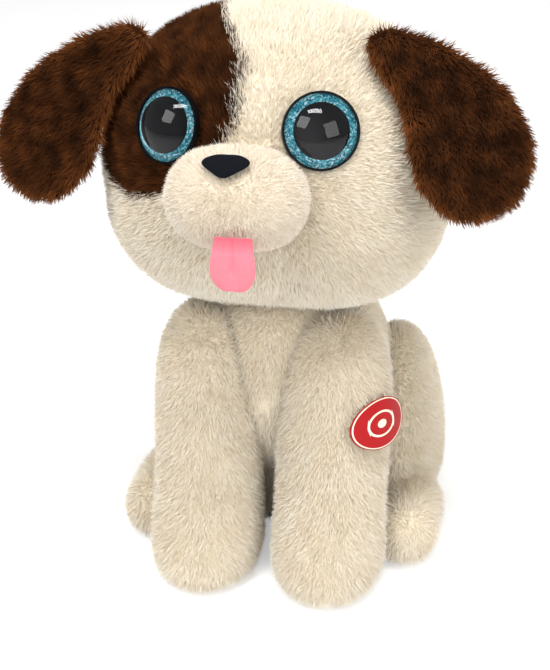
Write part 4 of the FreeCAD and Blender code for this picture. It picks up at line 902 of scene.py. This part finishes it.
for vert in form.verts:
    reach = vert.co.length
    vert.co = (vert.co.x * 18 * mm, vert.co.y * 12.2 * mm, (0.5 - 3.2 * vert.co.x ** 2 - 0.4 * reach ** 2) * mm)
bmesh.ops.solidify(form, geom=form.faces, thickness=0.5 * mm)
bmesh.ops.transform(form, matrix=press_set, verts=form.verts)
sticker = new_piece("press_card", form, [card])
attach(sticker, "press_button")
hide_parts("press_sticker")


# ---- what is inside -----------------------------------------------------------------
# The kiss drive, the button switch and the battery and sound box, and the white fibre
# that holds them. They keep their own shapes and take moulded, plated or fibre finishes.
def moulded(name, dark, light, roughness, metallic=0.0, grain=500):
    material, start, shader = finish_named(name, Metallic=metallic)
    place = start.node("TexCoord", output=3)
    skin = start.node("TexNoise", None, {"Vector": place, "Scale": grain, "Detail": 3.0})
    feed(shader, "Base Color", skin.mixed((*linear(*dark), 1), (*linear(*light), 1)))
    rough = roughness + skin * 0.12
    feed(shader, "Roughness", rough)
    feed(shader, "Normal", start.node("Bump", None, {"Strength": 0.25, "Distance": 0.0002, "Height": skin}))
    return material


inside = {
    "white_plastic": moulded("white_plastic", (208, 208, 203), (226, 226, 222), 0.4),
    "grey_plastic": moulded("grey_plastic", (112, 114, 118), (128, 130, 134), 0.4),
    "black_plastic": moulded("black_plastic", (14, 14, 16), (26, 26, 28), 0.4),
    "nylon": moulded("nylon", (226, 222, 208), (240, 237, 226), 0.35),
    "steel": moulded("plated_steel", (180, 180, 184), (206, 206, 208), 0.2, 1.0, 1200),
    "filling": moulded("fibre_filling", (226, 226, 226), (248, 248, 248), 0.85, 0.0, 250),
    "board": moulded("board_laminate", (18, 82, 38), (28, 106, 50), 0.35),
    "lead_jacket": moulded("lead_jacket", (14, 14, 14), (28, 28, 28), 0.5),
    "cell_case": moulded("cell_sleeve", (150, 152, 156), (176, 178, 182), 0.25, 0.9),
    "paper_cone": moulded("paper_cone", (18, 18, 18), (36, 36, 36), 0.8),
}
eye_parts = ("eye_iris", "eye_pupil", "eye_cup", "eye_dome")
for entry in frame["record"]["subparts"]:
    name, slot = entry["node"], entry["material_slot"]
    if slot in inside and not name.startswith(eye_parts):
        nodes[name].data.materials.clear()
        nodes[name].data.materials.append(inside[slot])


# ---- floor, lamps and camera --------------------------------------------------------
# A flat pale floor, three soft lamps and the camera.
form = bmesh.new()
bmesh.ops.create_grid(form, x_segments=1, y_segments=1, size=3)
paper, start, shader = finish_named("paper", Roughness=0.9)
shader.inputs["Base Color"].default_value = (0.86, 0.86, 0.86, 1)
sight = start.node("LightPath", output=0)
shader.inputs["Emission Color"].default_value = (1, 1, 1, 1)
glow = sight * 0.4
start.tree.links.new(glow.socket, shader.inputs["Emission Strength"])
floor = new_piece("floor", form, [paper])
floor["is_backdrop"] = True

world = bpy.data.worlds.new("studio")
world.use_nodes = True
bpy.context.scene.world = world
tree = world.node_tree
sky = Wire(tree)
path = sky.node("LightPath")
seen = Wire(tree, path.socket.node.outputs["Is Camera Ray"])
back = tree.nodes["Background"]
back.inputs["Color"].default_value = (1, 1, 1, 1)
glossy = Wire(tree, path.socket.node.outputs["Is Glossy Ray"])
through = Wire(tree, path.socket.node.outputs["Is Transmission Ray"])
power = 0.45 + 0.55 * (seen + through).clipped() - 0.2 * glossy
tree.links.new(power.socket, back.inputs["Strength"])


def lamp(name, place, target, size, watts, depth=None):
    data = bpy.data.lights.new(name, "AREA")
    data.shape = "RECTANGLE"
    data.size = size
    data.size_y = depth or size
    data.energy = watts
    made = bpy.data.objects.new(name, data)
    made.location = place
    made.rotation_euler = (Vector(target) - Vector(place)).to_track_quat("-Z", "Y").to_euler()
    bpy.context.scene.collection.objects.link(made)


lamp("key", (-0.55, -0.95, 1.15), (0, 0, 0.15), 0.7, 9)
lamp("fill", (1.1, -0.8, 0.7), (0, 0, 0.15), 0.9, 9)
lamp("ceiling", (0.05, -0.32, 1.25), (0, -0.05, 0.15), 0.6, 9, 0.2)

azimuth, height, roll = math.radians(14.5), math.radians(29), math.radians(2.8)
back = Vector((math.sin(azimuth) * math.cos(height), -math.cos(azimuth) * math.cos(height), math.sin(height)))
level = Vector((math.cos(azimuth), math.sin(azimuth), 0))
upward = back.cross(level)
right = level * math.cos(roll) - upward * math.sin(roll)
up = upward * math.cos(roll) + level * math.sin(roll)
turn = Matrix((right, up, back)).transposed().to_4x4()
target = Vector((-1, -30, 113)) * mm
lens = bpy.data.cameras.new("camera")
lens.lens = 1220 * 36 / 670
lens.sensor_width = 36
camera = bpy.data.objects.new("camera", lens)
camera.matrix_world = Matrix.Translation(target + back * 600 * mm) @ turn
bpy.context.scene.collection.objects.link(camera)
bpy.context.scene.camera = camera
bpy.context.scene.view_settings.view_transform = "Standard"

low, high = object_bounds()
